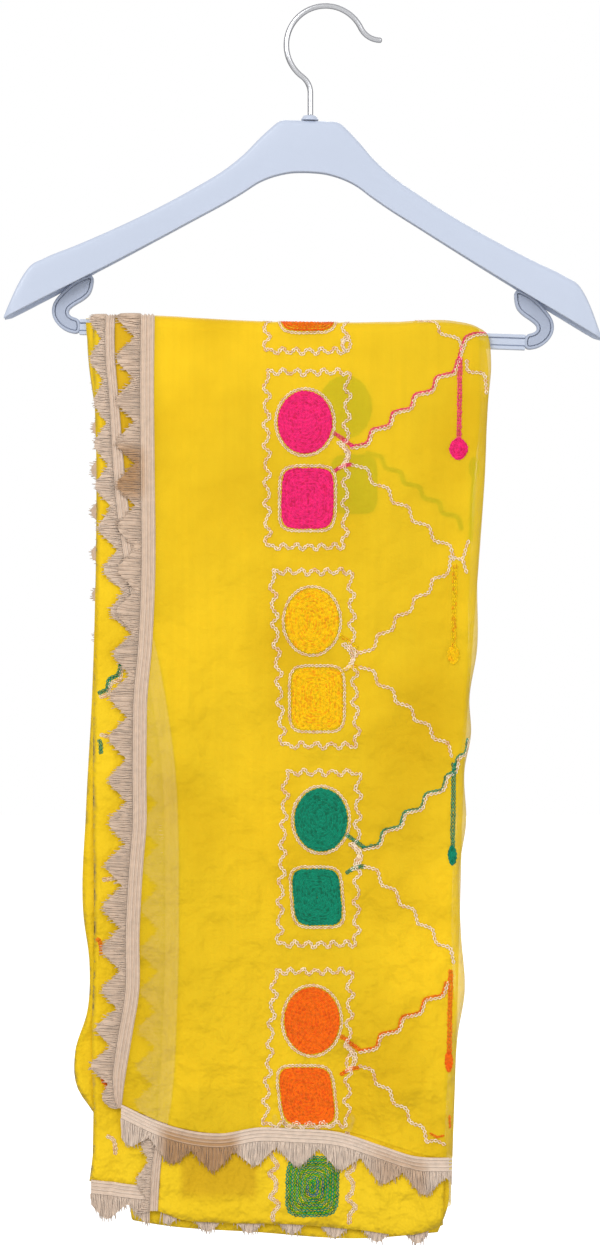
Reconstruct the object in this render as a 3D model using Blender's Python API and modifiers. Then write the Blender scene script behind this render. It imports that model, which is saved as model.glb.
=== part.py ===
"""A dupatta stole folded lengthwise and hung over the trouser bar of a clothes hanger.

The origin is the inside top of the hook's crook, where a rail holds the hanger. +X is to the right seen
from the front, +Y goes to the back and +Z is up. The hanger hangs a little askew, turned about its head.
Tables are in millimetres, and everything that is built from them is in metres.
"""

import math

import bmesh
import bpy
import numpy as np

MM = 0.001
GAP = 0.3  # between neighbouring pieces

# Hanger. "Out" runs sideways from the middle of the head, and "up" runs up from the top of the head.
HEAD_X = -10.2
HEAD_Z = -81.7
TILT_DEGREES = 2.0
ARM_WALL = 2.2
CHANNEL_DEEP = 9.0
CHANNEL_SHARE = 0.42  # most of an arm's height that its channel takes
ARM_ROUNDING = 3.6
ROUNDING_SHARE = 0.35  # most of an arm's height that its rounding takes
ARM_ROWS = (
    # out, top, underside, depth, forward
    (0.0, -0.3, -37.5, 11.0, 0.0),
    (12.0, -0.4, -38.2, 11.0, 0.0),
    (22.0, -1.5, -40.5, 11.0, 0.0),
    (29.0, -7.5, -43.0, 11.0, 0.0),
    (36.0, -14.5, -46.5, 11.2, 0.0),
    (46.0, -25.5, -53.5, 11.4, 0.0),
    (56.0, -34.5, -60.0, 11.6, 0.2),
    (83.0, -52.8, -76.0, 12.2, 0.8),
    (111.0, -69.3, -92.5, 13.4, 2.0),
    (138.0, -83.7, -108.2, 15.4, 3.6),
    (166.0, -97.4, -124.0, 17.8, 5.4),
    (188.0, -107.6, -136.3, 19.6, 6.8),
    (198.0, -114.0, -142.0, 20.2, 7.4),
    (206.0, -127.5, -146.5, 19.4, 7.8),
    (212.0, -142.0, -149.8, 17.0, 8.0),
    (215.0, -150.2, -151.6, 13.0, 8.0),
)
BAR_HALF_LENGTH = 160.0
BAR_UP = -155.0
BAR_HEIGHT = 11.0
BAR_DEPTH = 8.0
BAR_ROUNDING = 1.2
BRACKET_DEPTH = 7.0
BRACKET_OUTLINE = (
    # out, up: round from the foot of the arm, down the outer side and back up the inner side
    (164.0, -123.6),
    (170.0, -127.6),
    (176.5, -132.4),
    (180.4, -138.0),
    (181.6, -143.5),
    (180.6, -149.0),
    (177.0, -154.4),
    (170.0, -159.2),
    (160.4, -160.5),
    (160.4, -149.5),
    (167.0, -148.0),
    (169.6, -145.2),
    (168.2, -141.4),
    (156.0, -134.0),
    (152.4, -127.5),
    (151.6, -116.8),
)

# Hook: a wire that runs straight up, bends left, goes over the crook and curls out to its tip.
WIRE = 4.0
STEM_X = -9.8
STEM_BOTTOM = -77.6
STEM_TOP = -62.0
HOOK_BENDS = (
    # turn in degrees, radius; a left turn is positive
    (54.8, 15.4),
    (-206.8, 28.3),
    (60.0, 16.0),
)
DEGREES_A_STEP = 7.0
COLLAR_RADIUS = 6.2
COLLAR_HEIGHT = 3.2
COLLAR_TAPER = 0.6

# Cloth. "Layer" is the y of a layer's front face well below the bar.
WALL = 1.0
FOLD_RADIUS = 6.0
BACK_FOLD_RADIUS = 5.0
CURL_TURN = math.radians(62)  # how far the wall at the back turns in under the stack's bottom fold
LAYER_FRONT = -12.4
LAYER_SECOND = -10.7
LAYER_THIRD = -9.0
LAYER_INNER = -5.8
THIRD_THICK = 2.0
INNER_THICK = 2.8
LAYER_BACK = 11.0
BACK_STACK_FRONT = 1.2
BACK_STACK_THICK = 7.2
BACK_STACK_LEFT = 36.0  # how far the stack reaches past the back's left edge
BACK_STACK_RIGHT = 7.0  # how far it stays inside the back's fold
BACK_STACK_RISE = 4.0
SQUEEZED = 0.76  # share of its lower depth that the stack keeps at the bar
CLOTH_TOP = -240.0
SPREADS_OVER = 90.0  # drop below the saddle in which the stack spreads to its full depth
SPREAD_POWER = 0.7
FLAT_SHARE = 0.7  # how far across a fall's grid its fold starts
UNCURLED_SHARE = 0.94  # how far down the back fall's grid its curl starts
DRAPE_REACH = 640.0  # drop in which the upright folds grow to their full depth
DRAPE_WAVES = (
    # length across, shift, lean, depth
    (168.0, 40.0, 0.0, 1.5),
    (96.0, 0.0, -0.12, 0.8),
)

SADDLE_ROWS = (
    # x, top
    (-173.4, -222.2),
    (-150.0, -222.0),
    (-122.0, -222.6),
    (-70.0, -225.6),
    (-17.0, -227.6),
    (50.0, -227.2),
    (95.0, -226.8),
    (108.0, -229.6),
    (116.6, -234.0),
)
SADDLE_WALL = 5.1
SADDLE_SHOULDER = 1.2  # how far below the bar's top the arch may start to round over
SADDLE_LEG = 14.6  # how far the saddle reaches down below the top of the bar

FRONT_ROWS = (
    # z, left edge, right fold
    (-240.0, -122.2, 119.4),
    (-258.0, -122.4, 120.6),
    (-285.0, -122.4, 118.4),
    (-340.0, -121.8, 116.0),
    (-414.0, -121.6, 110.6),
    (-464.0, -124.0, 110.4),
    (-500.0, -127.2, 104.9),
    (-525.0, -127.6, 106.0),
    (-550.0, -127.9, 101.4),
    (-590.0, -127.8, 102.4),
    (-620.0, -130.2, 97.8),
    (-669.0, -132.8, 98.8),
    (-712.0, -133.2, 101.4),
    (-741.0, -138.0, 96.6),
    (-791.0, -145.4, 94.0),
    (-829.0, -147.0, 92.8),
)
FRONT_HEM = (
    # share of the width, z
    (0.0, -791.0),
    (0.12, -804.0),
    (0.3, -812.0),
    (0.42, -807.6),
    (0.52, -808.6),
    (0.66, -811.6),
    (0.78, -820.6),
    (0.88, -828.0),
    (1.0, -829.4),
)
SECOND_ROWS = (
    # z, left edge, right edge
    (-240.0, -151.0, 112.0),
    (-290.0, -147.4, 112.4),
    (-365.0, -140.2, 106.0),
    (-428.0, -128.6, 104.0),
    (-486.0, -116.4, 103.0),
    (-544.0, -107.8, 98.0),
    (-645.0, -104.4, 92.0),
    (-717.0, -105.6, 92.0),
    (-790.0, -110.0, 88.0),
    (-833.0, -117.2, 86.6),
    (-875.0, -120.0, 85.6),
)
SECOND_HEM = (
    # share of the width, z
    (0.0, -872.0),
    (0.2, -876.4),
    (0.45, -877.6),
    (0.7, -882.0),
    (1.0, -886.4),
)
THIRD_ROWS = (
    # z, left fold, right edge
    (-240.0, -166.0, 104.0),
    (-313.0, -164.6, 104.0),
    (-430.0, -165.0, 101.0),
    (-545.0, -166.6, 92.0),
    (-664.0, -165.8, 88.0),
    (-755.0, -167.4, 86.0),
    (-826.0, -166.6, 84.0),
    (-857.0, -170.6, 80.0),
)
THIRD_HEM = -848.0
INNER_ROWS = (
    # z, left fold, right edge
    (-240.0, -170.4, 108.0),
    (-257.0, -168.4, 109.6),
    (-313.0, -165.6, 108.0),
    (-430.0, -166.0, 104.0),
    (-500.0, -168.0, 97.4),
    (-577.0, -172.2, 94.4),
    (-655.0, -174.2, 91.0),
    (-690.0, -169.6, 91.0),
    (-725.0, -171.4, 94.6),
    (-755.0, -180.4, 87.6),
    (-783.0, -177.2, 86.8),
    (-796.0, -168.0, 86.4),
    (-830.0, -150.0, 88.4),
    (-868.0, -140.6, 88.6),
    (-884.0, -138.4, 82.0),
)
INNER_HEM = -885.0
BACK_ROWS = (
    # z, left edge, right fold
    (-240.0, -124.0, 118.4),
    (-300.0, -123.0, 117.6),
    (-420.0, -124.6, 110.0),
    (-540.0, -127.0, 102.0),
    (-660.0, -129.8, 98.4),
    (-780.0, -131.2, 95.0),
    (-862.0, -132.6, 92.0),
)
BACK_HEM = -862.0

# Lace border: a ribbed braid with a pointed fringe.
LACE_BASE = 15.0
LACE_TOOTH = 13.0
LACE_PITCH = 30.4
LACE_WALL = 1.0
TOOTH_PHASE = {
    "front side": 6.0,
    "second side": 12.0,
    "second end": 8.0,
    "third end": 20.0,
    "back side": 10.0,
}
SECOND_END_DROP = 23.4  # its lace hangs lower than the second layer's hem, by the fold that hides between
SECOND_END_SHARE = 0.9
THIRD_END_SHARE = 0.18


def clear_scene():
    for obj in list(bpy.data.objects):
        bpy.data.objects.remove(obj)


def paint(name, colour, roughness, metallic=0.0):
    material = bpy.data.materials.new(name)
    material.use_nodes = True
    shader = material.node_tree.nodes["Principled BSDF"]
    shader.inputs["Base Color"].default_value = (*colour, 1.0)
    shader.inputs["Roughness"].default_value = roughness
    shader.inputs["Metallic"].default_value = metallic
    return material


def add_object(name, data, material, parent=None):
    obj = bpy.data.objects.new(name, data)
    obj.data.materials.append(material)
    COLLECTION.objects.link(obj)
    obj.parent = parent
    return obj


def through(at, table, column):
    """Cubic curve through one column of a table against its first column, with the neighbours' slopes."""
    rows = np.array(table)
    rows = rows[np.argsort(rows[:, 0])]
    knots, values = rows[:, 0], rows[:, column]
    slopes = np.gradient(values, knots)
    at = np.clip(at, knots[0], knots[-1])
    i = np.clip(np.searchsorted(knots, at) - 1, 0, len(knots) - 2)
    span = knots[i + 1] - knots[i]
    f = (at - knots[i]) / span
    start = (1 + 2 * f) * (1 - f) ** 2 * values[i] + f * (1 - f) ** 2 * span * slopes[i]
    end = f**2 * (3 - 2 * f) * values[i + 1] - f**2 * (1 - f) * span * slopes[i + 1]
    return start + end


def loft(name, rings, material, parent=None):
    """A closed solid through rings of equal length, with a flat cap on the first and the last."""
    mesh = bmesh.new()
    corners = [[mesh.verts.new(point) for point in ring] for ring in rings]
    for low, high in zip(corners, corners[1:]):
        for i in range(len(low)):
            j = (i + 1) % len(low)
            mesh.faces.new((low[i], low[j], high[j], high[i]))
    mesh.faces.new(corners[0][::-1])
    mesh.faces.new(corners[-1])
    bmesh.ops.recalc_face_normals(mesh, faces=mesh.faces)
    data = bpy.data.meshes.new(name)
    mesh.to_mesh(data)
    mesh.free()
    return add_object(name, data, material, parent)


def wall(name, columns, rows, place, material, thickness=WALL, outside_is_back=False):
    """A grid carried onto a surface by place(across, down), then thickened inwards from its outer face."""
    mesh = bmesh.new()
    bmesh.ops.create_grid(mesh, x_segments=columns, y_segments=rows, size=0.5)
    flat = np.array([vertex.co for vertex in mesh.verts])
    placed = place(flat[:, 0] + 0.5, 0.5 - flat[:, 1]) * MM
    for vertex, point in zip(mesh.verts, placed):
        vertex.co = point
    data = bpy.data.meshes.new(name)
    mesh.to_mesh(data)
    mesh.free()
    obj = add_object(name, data, material)
    thicken = obj.modifiers.new("thickness", "SOLIDIFY")
    thicken.thickness = thickness * MM
    thicken.offset = 1.0 if outside_is_back else -1.0
    return obj


# Hanger


def make_hook(material):
    """The wire's centre line as a straight stem and three arcs, each starting where the last one ended."""
    heading = math.radians(90)
    x, z = STEM_X, STEM_BOTTOM
    route = [(x, z)]
    z = STEM_TOP
    route.append((x, z))
    for turn, radius in HOOK_BENDS:
        steps = math.ceil(abs(turn) / DEGREES_A_STEP)
        step = math.radians(turn) / steps
        chord = 2 * radius * math.sin(abs(step) / 2)
        for _ in range(steps):
            heading += step / 2
            x += chord * math.cos(heading)
            z += chord * math.sin(heading)
            heading += step / 2
            route.append((x, z))
    curve = bpy.data.curves.new("hook", "CURVE")
    curve.dimensions = "3D"
    curve.bevel_depth = WIRE / 2 * MM
    curve.bevel_resolution = 2
    curve.use_fill_caps = True
    spline = curve.splines.new("POLY")
    spline.points.add(len(route) - 1)
    for point, (x, z) in zip(spline.points, route):
        point.co = (x * MM, 0.0, z * MM, 1.0)
    return add_object("hook", curve, material)


def make_collar(material, frame):
    mesh = bmesh.new()
    bmesh.ops.create_cone(
        mesh,
        cap_ends=True,
        segments=20,
        radius1=COLLAR_RADIUS * MM,
        radius2=(COLLAR_RADIUS - COLLAR_TAPER) * MM,
        depth=COLLAR_HEIGHT * MM,
    )
    data = bpy.data.meshes.new("hook_collar")
    mesh.to_mesh(data)
    mesh.free()
    collar = add_object("hook_collar", data, material, frame)
    collar.location.z = (GAP / 2 + COLLAR_HEIGHT / 2) * MM


def arm_section(side, out, top, underside, depth, forward):
    """An upturned channel: rounded shoulders outside, and a groove in the underside."""
    half = depth / 2
    tall = top - underside
    soft = min(ARM_ROUNDING, ROUNDING_SHARE * tall)
    inner = half - ARM_WALL
    groove = underside + min(CHANNEL_DEEP, CHANNEL_SHARE * tall)
    across_up = (
        (-half, underside),
        (-half, top - soft),
        (-half + 0.3 * soft, top - 0.3 * soft),
        (-half + soft, top),
        (half - soft, top),
        (half - 0.3 * soft, top - 0.3 * soft),
        (half, top - soft),
        (half, underside),
        (inner, underside),
        (inner, groove),
        (-inner, groove),
        (-inner, underside),
    )
    return [(side * out * MM, (y - forward) * MM, up * MM) for y, up in across_up]


def make_arms(material, frame):
    left = [arm_section(-1, *row) for row in reversed(ARM_ROWS[1:])]
    right = [arm_section(1, *row) for row in ARM_ROWS]
    return loft("hanger_arms", left + right, material, frame)


def make_bar(material, frame):
    mesh = bmesh.new()
    bmesh.ops.create_cube(mesh, size=MM)
    sides = (2 * BAR_HALF_LENGTH, BAR_DEPTH, BAR_HEIGHT)
    bmesh.ops.scale(mesh, vec=sides, verts=mesh.verts)
    data = bpy.data.meshes.new("trouser_bar")
    mesh.to_mesh(data)
    mesh.free()
    bar = add_object("trouser_bar", data, material, frame)
    bar.location.z = BAR_UP * MM
    soften = bar.modifiers.new("soft edges", "BEVEL")
    soften.width = BAR_ROUNDING * MM
    soften.segments = 2


def make_bracket(name, side, material, frame):
    """A flat hooked outline from the underside of the arm out, round and back to the bar."""
    curve = bpy.data.curves.new(name, "CURVE")
    curve.dimensions = "2D"
    curve.fill_mode = "BOTH"
    curve.extrude = BRACKET_DEPTH / 2 * MM
    spline = curve.splines.new("POLY")
    spline.points.add(len(BRACKET_OUTLINE) - 1)
    for point, (out, up) in zip(spline.points, BRACKET_OUTLINE):
        point.co = (side * out * MM, up * MM, 0.0, 1.0)
    spline.use_cyclic_u = True
    bracket = add_object(name, curve, material, frame)
    bracket.rotation_euler.x = math.radians(90)


# Cloth


def bar_top(x):
    """Height of the top of the bar, which tilts with the hanger."""
    slope = math.tan(math.radians(TILT_DEGREES))
    lift = (BAR_UP + BAR_HEIGHT / 2) / math.cos(math.radians(TILT_DEGREES))
    return HEAD_Z + lift - slope * (x - HEAD_X)


def saddle_leg(x):
    return bar_top(x) - SADDLE_LEG


def spread(x, z):
    """Share of its full depth that the stack has at this height: squeezed at the bar, free lower down."""
    drop = np.clip((saddle_leg(x) - z) / SPREADS_OVER, 0, 1)
    return SQUEEZED + (1 - SQUEEZED) * drop**SPREAD_POWER


def drape(x, z):
    """Soft upright folds that all layers share, deeper towards the hem: sine waves across, added up."""
    low = np.clip((CLOTH_TOP - z) / DRAPE_REACH, 0, 1)
    waves = [deep * np.sin(2 * math.pi * (x + shift + lean * z) / long) for long, shift, lean, deep in DRAPE_WAVES]
    return low * sum(waves)


def layer(x, z, depth):
    """Points of a layer that lies at this depth, squeezed at the bar and draped below it."""
    return np.stack([x, depth * spread(x, z) + drape(x, z), z], axis=1)


def fall(rows, hem, depth, fold_radius=0.0, curl_under=0.0):
    """place() for a fall of cloth: edges from rows, hem from a table, and a fold round its right edge.

    The grid is flat as far across as FLAT_SHARE. The rest turns half round the fold, towards the middle
    of the stack. With curl_under, the last rows close in to the middle of the fold and form the bottom.
    """
    turn = -1.0 if depth > 0 else 1.0

    def place(across, down):
        flat = np.clip(across / FLAT_SHARE, 0, 1) if fold_radius else across
        low = through(flat, hem, 1) if isinstance(hem, tuple) else np.full_like(flat, hem)
        depth_share = np.clip(down / UNCURLED_SHARE, 0, 1) if curl_under else down
        guess = CLOTH_TOP + (low - CLOTH_TOP) * depth_share
        left = through(guess, rows, 1)
        right = through(guess, rows, 2) - fold_radius
        x = left + (right - left) * flat
        z = saddle_leg(x) - GAP + (low - saddle_leg(x) + GAP) * depth_share
        points = layer(x, z, depth)
        if fold_radius:
            angle = np.clip((across - FLAT_SHARE) / (1 - FLAT_SHARE), 0, 1) * math.pi
            radius = fold_radius * spread(x, z)
            points[:, 0] += fold_radius * np.sin(angle)
            points[:, 1] += turn * radius * (1 - np.cos(angle))
        if curl_under:
            angle = np.clip((down - UNCURLED_SHARE) / (1 - UNCURLED_SHARE), 0, 1) * CURL_TURN
            middle = layer(x, z, depth)[:, 1] + turn * curl_under
            points[:, 1] = middle + (points[:, 1] - middle) * np.cos(angle)
            points[:, 2] -= curl_under * np.sin(angle)
        return points

    return place


def folded_stack(name, rows, top, hem, depth, thickness, material, stations=22, columns=9):
    """Hidden folded layers as one rounded solid: flat faces, and half-round folds at left and right."""
    rings = []
    for down in np.linspace(0, 1, stations):
        guess = top + (hem - top) * down
        left = float(through(guess, rows, 1))
        right = float(through(guess, rows, 2))
        half = thickness / 2
        inset = left + half + (right - left - 2 * half) * np.linspace(0, 1, columns)
        x = np.concatenate([inset, [right], inset[::-1], [left]])
        back = np.concatenate([np.zeros(columns), [half], np.full(columns, 2 * half), [half]])
        lean = saddle_leg(x) - saddle_leg(0.0)
        z = guess + lean * (1 - down)
        points = layer(x, z, depth)
        points[:, 1] += back * spread(x, z)
        rings.append(points * MM)
    return loft(name, rings, material)


def make_saddle(material):
    """All the layers where they go over the bar: an arch in section, from the front leg to the back one."""
    x_rows = np.array([row[0] for row in SADDLE_ROWS])
    xs = np.linspace(x_rows[0], x_rows[-1], 15)
    inner_half = BAR_DEPTH / 2 + GAP
    arc = np.radians(np.linspace(180, 0, 9))
    rings = []
    for x in xs:
        low = float(saddle_leg(x))
        seat = float(bar_top(x)) + GAP
        crown = float(through(x, SADDLE_ROWS, 1))
        outer_half = inner_half + SADDLE_WALL
        shoulder = max(seat - SADDLE_SHOULDER, crown - outer_half)
        outer_y = outer_half * np.cos(arc)
        outer_z = shoulder + (crown - shoulder) * np.sin(arc)
        corner = (inner_half, seat)
        y = np.concatenate([[-outer_half], outer_y, [outer_half, inner_half, corner[0], -corner[0], -inner_half]])
        z = np.concatenate([[low], outer_z, [low, low, corner[1], corner[1], low]])
        rings.append(np.stack([np.full_like(y, x), y, z], axis=1) * MM)
    return loft("cloth_saddle", rings, material)


# Lace


def tooth_reach(along):
    """How far the lace reaches from the cloth: the braid, then pointed teeth of equal pitch."""
    phase = np.abs((along / LACE_PITCH) % 1.0 - 0.5) * 2
    return LACE_BASE + LACE_TOOTH * (1 - phase)


def edge_lace(rows, bottom, depth, phase=0.0):
    """place() for lace down a left edge: across goes from the tips in to the cloth's edge."""

    def place(across, down):
        guess = CLOTH_TOP + (bottom - CLOTH_TOP) * down
        edge = through(guess, rows, 1)
        z = saddle_leg(edge) - GAP + (bottom - saddle_leg(edge) + GAP) * down
        root = 2 * GAP
        reach = root + (tooth_reach(phase - z) - root) * (1 - across)
        return layer(edge - reach, z, depth)

    return place


def hem_lace(rows, hem, start, end, depth, drop=0.0, phase=0.0, fold_radius=0.0):
    """place() for lace along a hem: down goes from the hem to the tips, between two shares of its width."""

    def place(across, down):
        share = start + (end - start) * across
        low = through(share, hem, 1) if isinstance(hem, tuple) else np.full_like(share, hem)
        left = through(low, rows, 1)
        right = through(low, rows, 2) - fold_radius
        x = left + (right - left) * share
        root = 2 * GAP
        reach = root + (tooth_reach(x - left + phase) - root) * down
        return layer(x, low + drop - reach, depth)

    return place


def make_cloth(cloth):
    make_saddle(cloth)
    front = fall(FRONT_ROWS, FRONT_HEM, LAYER_FRONT, FOLD_RADIUS)
    wall("cloth_front", 20, 24, front, cloth)
    second = fall(SECOND_ROWS, SECOND_HEM, LAYER_SECOND)
    wall("cloth_second", 12, 20, second, cloth)
    stack_top = float(saddle_leg(0.0)) - GAP
    folded_stack("cloth_third", THIRD_ROWS, stack_top, THIRD_HEM, LAYER_THIRD, THIRD_THICK, cloth, 16)
    folded_stack("cloth_inner", INNER_ROWS, stack_top, INNER_HEM, LAYER_INNER, INNER_THICK, cloth)
    back = fall(BACK_ROWS, BACK_HEM, LAYER_BACK, BACK_FOLD_RADIUS, curl_under=BACK_FOLD_RADIUS)
    wall("cloth_back", 18, 22, back, cloth, outside_is_back=True)
    stack_rows = [(z, left - BACK_STACK_LEFT, right - BACK_STACK_RIGHT) for z, left, right in BACK_ROWS]
    stack_low = BACK_HEM + BACK_STACK_RISE
    folded_stack("cloth_back_inner", stack_rows, stack_top, stack_low, BACK_STACK_FRONT, BACK_STACK_THICK, cloth, 14)


def make_lace(lace):
    front = edge_lace(FRONT_ROWS, FRONT_HEM[0][1], LAYER_FRONT, TOOTH_PHASE["front side"])
    wall("lace_front_side", 1, 72, front, lace, LACE_WALL)
    second = edge_lace(SECOND_ROWS, SECOND_HEM[0][1], LAYER_SECOND, TOOTH_PHASE["second side"])
    wall("lace_second_side", 1, 80, second, lace, LACE_WALL)
    front_end = hem_lace(FRONT_ROWS, FRONT_HEM, 0.0, 1.0, LAYER_FRONT, fold_radius=FOLD_RADIUS)
    wall("lace_front_end", 42, 1, front_end, lace, LACE_WALL)
    second_end = hem_lace(
        SECOND_ROWS, SECOND_HEM, 0.0, SECOND_END_SHARE, LAYER_THIRD, SECOND_END_DROP, TOOTH_PHASE["second end"]
    )
    wall("lace_second_end", 42, 1, second_end, lace, LACE_WALL)
    third_end = hem_lace(THIRD_ROWS, THIRD_HEM, 0.0, THIRD_END_SHARE, LAYER_THIRD, phase=TOOTH_PHASE["third end"])
    wall("lace_third_end", 8, 1, third_end, lace, LACE_WALL)
    back = edge_lace(BACK_ROWS, BACK_HEM, LAYER_BACK, TOOTH_PHASE["back side"])
    wall("lace_back_side", 1, 80, back, lace, LACE_WALL, outside_is_back=True)


clear_scene()
COLLECTION = bpy.data.collections.new("dupatta_on_hanger")
bpy.context.scene.collection.children.link(COLLECTION)

plastic = paint("pale_plastic", (0.62, 0.66, 0.78), 0.35)
steel = paint("bright_steel", (0.75, 0.75, 0.76), 0.18, 1.0)
yellow = paint("yellow_cloth", (0.86, 0.58, 0.02), 0.75)
braid = paint("champagne_lace", (0.74, 0.6, 0.52), 0.5)

hanger = bpy.data.objects.new("hanger", None)
COLLECTION.objects.link(hanger)
hanger.location = (HEAD_X * MM, 0.0, HEAD_Z * MM)
hanger.rotation_euler.y = math.radians(TILT_DEGREES)

make_hook(steel)
make_collar(plastic, hanger)
make_arms(plastic, hanger)
make_bar(plastic, hanger)
make_bracket("bracket_left", -1, plastic, hanger)
make_bracket("bracket_right", 1, plastic, hanger)
make_cloth(yellow)
make_lace(braid)
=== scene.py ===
"""How a dupatta stole looks, folded lengthwise and hung over the trouser bar of a clothes hanger.

Sizes are in millimetres and points are turned into metres where a mesh is made. x runs to the right,
y to the back and z up, from the inside top of the hook. A place on a sheet of cloth is given by x and
by "up": its height on the front fall, carried on over the bar and down the back.
"""

import math

import bpy
import numpy as np
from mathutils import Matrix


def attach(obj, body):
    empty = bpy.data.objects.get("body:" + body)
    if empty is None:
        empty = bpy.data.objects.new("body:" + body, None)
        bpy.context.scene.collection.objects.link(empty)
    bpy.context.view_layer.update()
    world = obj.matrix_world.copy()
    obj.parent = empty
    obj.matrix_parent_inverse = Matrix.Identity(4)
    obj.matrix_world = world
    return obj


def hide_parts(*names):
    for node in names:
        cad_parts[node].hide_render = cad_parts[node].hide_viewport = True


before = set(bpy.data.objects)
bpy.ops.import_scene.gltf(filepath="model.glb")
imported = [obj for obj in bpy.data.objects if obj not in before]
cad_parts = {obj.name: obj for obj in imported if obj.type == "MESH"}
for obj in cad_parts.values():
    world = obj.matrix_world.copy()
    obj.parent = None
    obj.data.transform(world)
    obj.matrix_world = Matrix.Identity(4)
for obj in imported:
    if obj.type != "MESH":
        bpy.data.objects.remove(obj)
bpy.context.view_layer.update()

# Studio: a wide white floor far below the hanger, an even white sky and three wide soft lamps. The
# camera stands level with the middle of the stole and looks straight at its front.

MM = 0.001
FILM_SIZE = 36.0
VIEW_DISTANCE = 2700.0
VIEW_X, VIEW_Z = -17.3, -444.5
VIEW_HEIGHT = 899.8
SKY_LIGHT = 0.67
SKY_SEEN = 1.0
FLOOR_Z = -1050.0
FLOOR_HALF_WIDTH = 9000.0
FLOOR_GREY = (0.6, 0.6, 0.6, 1.0)
FLOOR_GLOW = (0.8, 0.8, 0.8, 1.0)
LAMPS = (
    # name, x, y, z, size, watts
    ("key lamp", -1500.0, -2700.0, 1100.0, 1500.0, 52.0),
    ("fill lamp", 1900.0, -2400.0, 300.0, 1900.0, 18.0),
    ("back lamp", 300.0, 2100.0, 1300.0, 1700.0, 20.0),
)


def mesh_object(name, points, faces, material):
    """An object with this material from points in millimetres, and faces as rows of point numbers."""
    mesh = bpy.data.meshes.new(name)
    mesh.from_pydata(np.asarray(points) * MM, [], [list(f) for f in faces])
    mesh.validate()
    mesh.materials.append(material)
    obj = bpy.data.objects.new(name.replace(",", "").replace(" ", "_"), mesh)
    bpy.context.scene.collection.objects.link(obj)
    return obj


def new_material(name, roughness, **settings):
    """A material whose Principled shader has these constant settings, and its nodes, links and shader."""
    material = bpy.data.materials.new(name)
    material.use_nodes = True
    nodes, links = material.node_tree.nodes, material.node_tree.links
    shader = nodes["Principled BSDF"]
    shader.inputs["Roughness"].default_value = roughness
    for setting, value in settings.items():
        shader.inputs[setting.replace("_", " ")].default_value = value
    return material, nodes, links, shader


def add_node(nodes, kind, **settings):
    """A shader node. A setting with a capital letter is a socket's value, any other the node's own."""
    node = nodes.new("ShaderNode" + kind)
    for setting, value in settings.items():
        if setting[0].isupper():
            node.inputs[setting.replace("_", " ")].default_value = value
        else:
            setattr(node, setting, value)
    return node


scene = bpy.context.scene
scene.view_settings.view_transform = "Standard"
lens = bpy.data.cameras.new("camera")
lens.lens = FILM_SIZE * VIEW_DISTANCE / VIEW_HEIGHT
camera = bpy.data.objects.new("camera", lens)
camera.location = (VIEW_X * MM, -VIEW_DISTANCE * MM, VIEW_Z * MM)
camera.rotation_euler = (math.pi / 2, 0.0, 0.0)
scene.collection.objects.link(camera)
scene.camera = camera

sky = bpy.data.worlds.new("studio")
sky.use_nodes = True
nodes, links = sky.node_tree.nodes, sky.node_tree.links
nodes["Background"].inputs["Color"].default_value = (1.0, 1.0, 1.0, 1.0)
glow = add_node(nodes, "MapRange", To_Min=SKY_LIGHT, To_Max=SKY_SEEN)
links.new(add_node(nodes, "LightPath").outputs["Is Camera Ray"], glow.inputs["Value"])
links.new(glow.outputs["Result"], nodes["Background"].inputs["Strength"])
scene.world = sky

white, nodes, links, shader = new_material(
    "studio white", 1.0, Specular_IOR_Level=0.0, Base_Color=FLOOR_GREY, Emission_Color=FLOOR_GLOW
)
links.new(add_node(nodes, "LightPath").outputs["Is Camera Ray"], shader.inputs["Emission Strength"])
square = np.array([(-1.0, -1.0), (1.0, -1.0), (1.0, 1.0), (-1.0, 1.0)]) * FLOOR_HALF_WIDTH
floor = mesh_object("studio floor", np.hstack([square, np.full((4, 1), FLOOR_Z)]), [(0, 1, 2, 3)], white)

for name, x, y, z, size, watts in LAMPS:
    lamp = bpy.data.lights.new(name, "AREA")
    lamp.energy = watts
    lamp.size = size * MM
    stand = bpy.data.objects.new(name, lamp)
    stand.location = (x * MM, y * MM, z * MM)
    right, ahead, rise = VIEW_X - x, -y, VIEW_Z - z
    tilt = math.atan2(math.hypot(right, ahead), -rise)
    stand.rotation_euler = (tilt, 0.0, math.atan2(right, -ahead) + math.pi)
    scene.collection.objects.link(stand)

# Arms: the hanger's two sloping arms and its head, one moulding of pale lavender plastic. They curve
# forward, lie open below as a channel, and end in blunt tips with a small lip behind.

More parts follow.
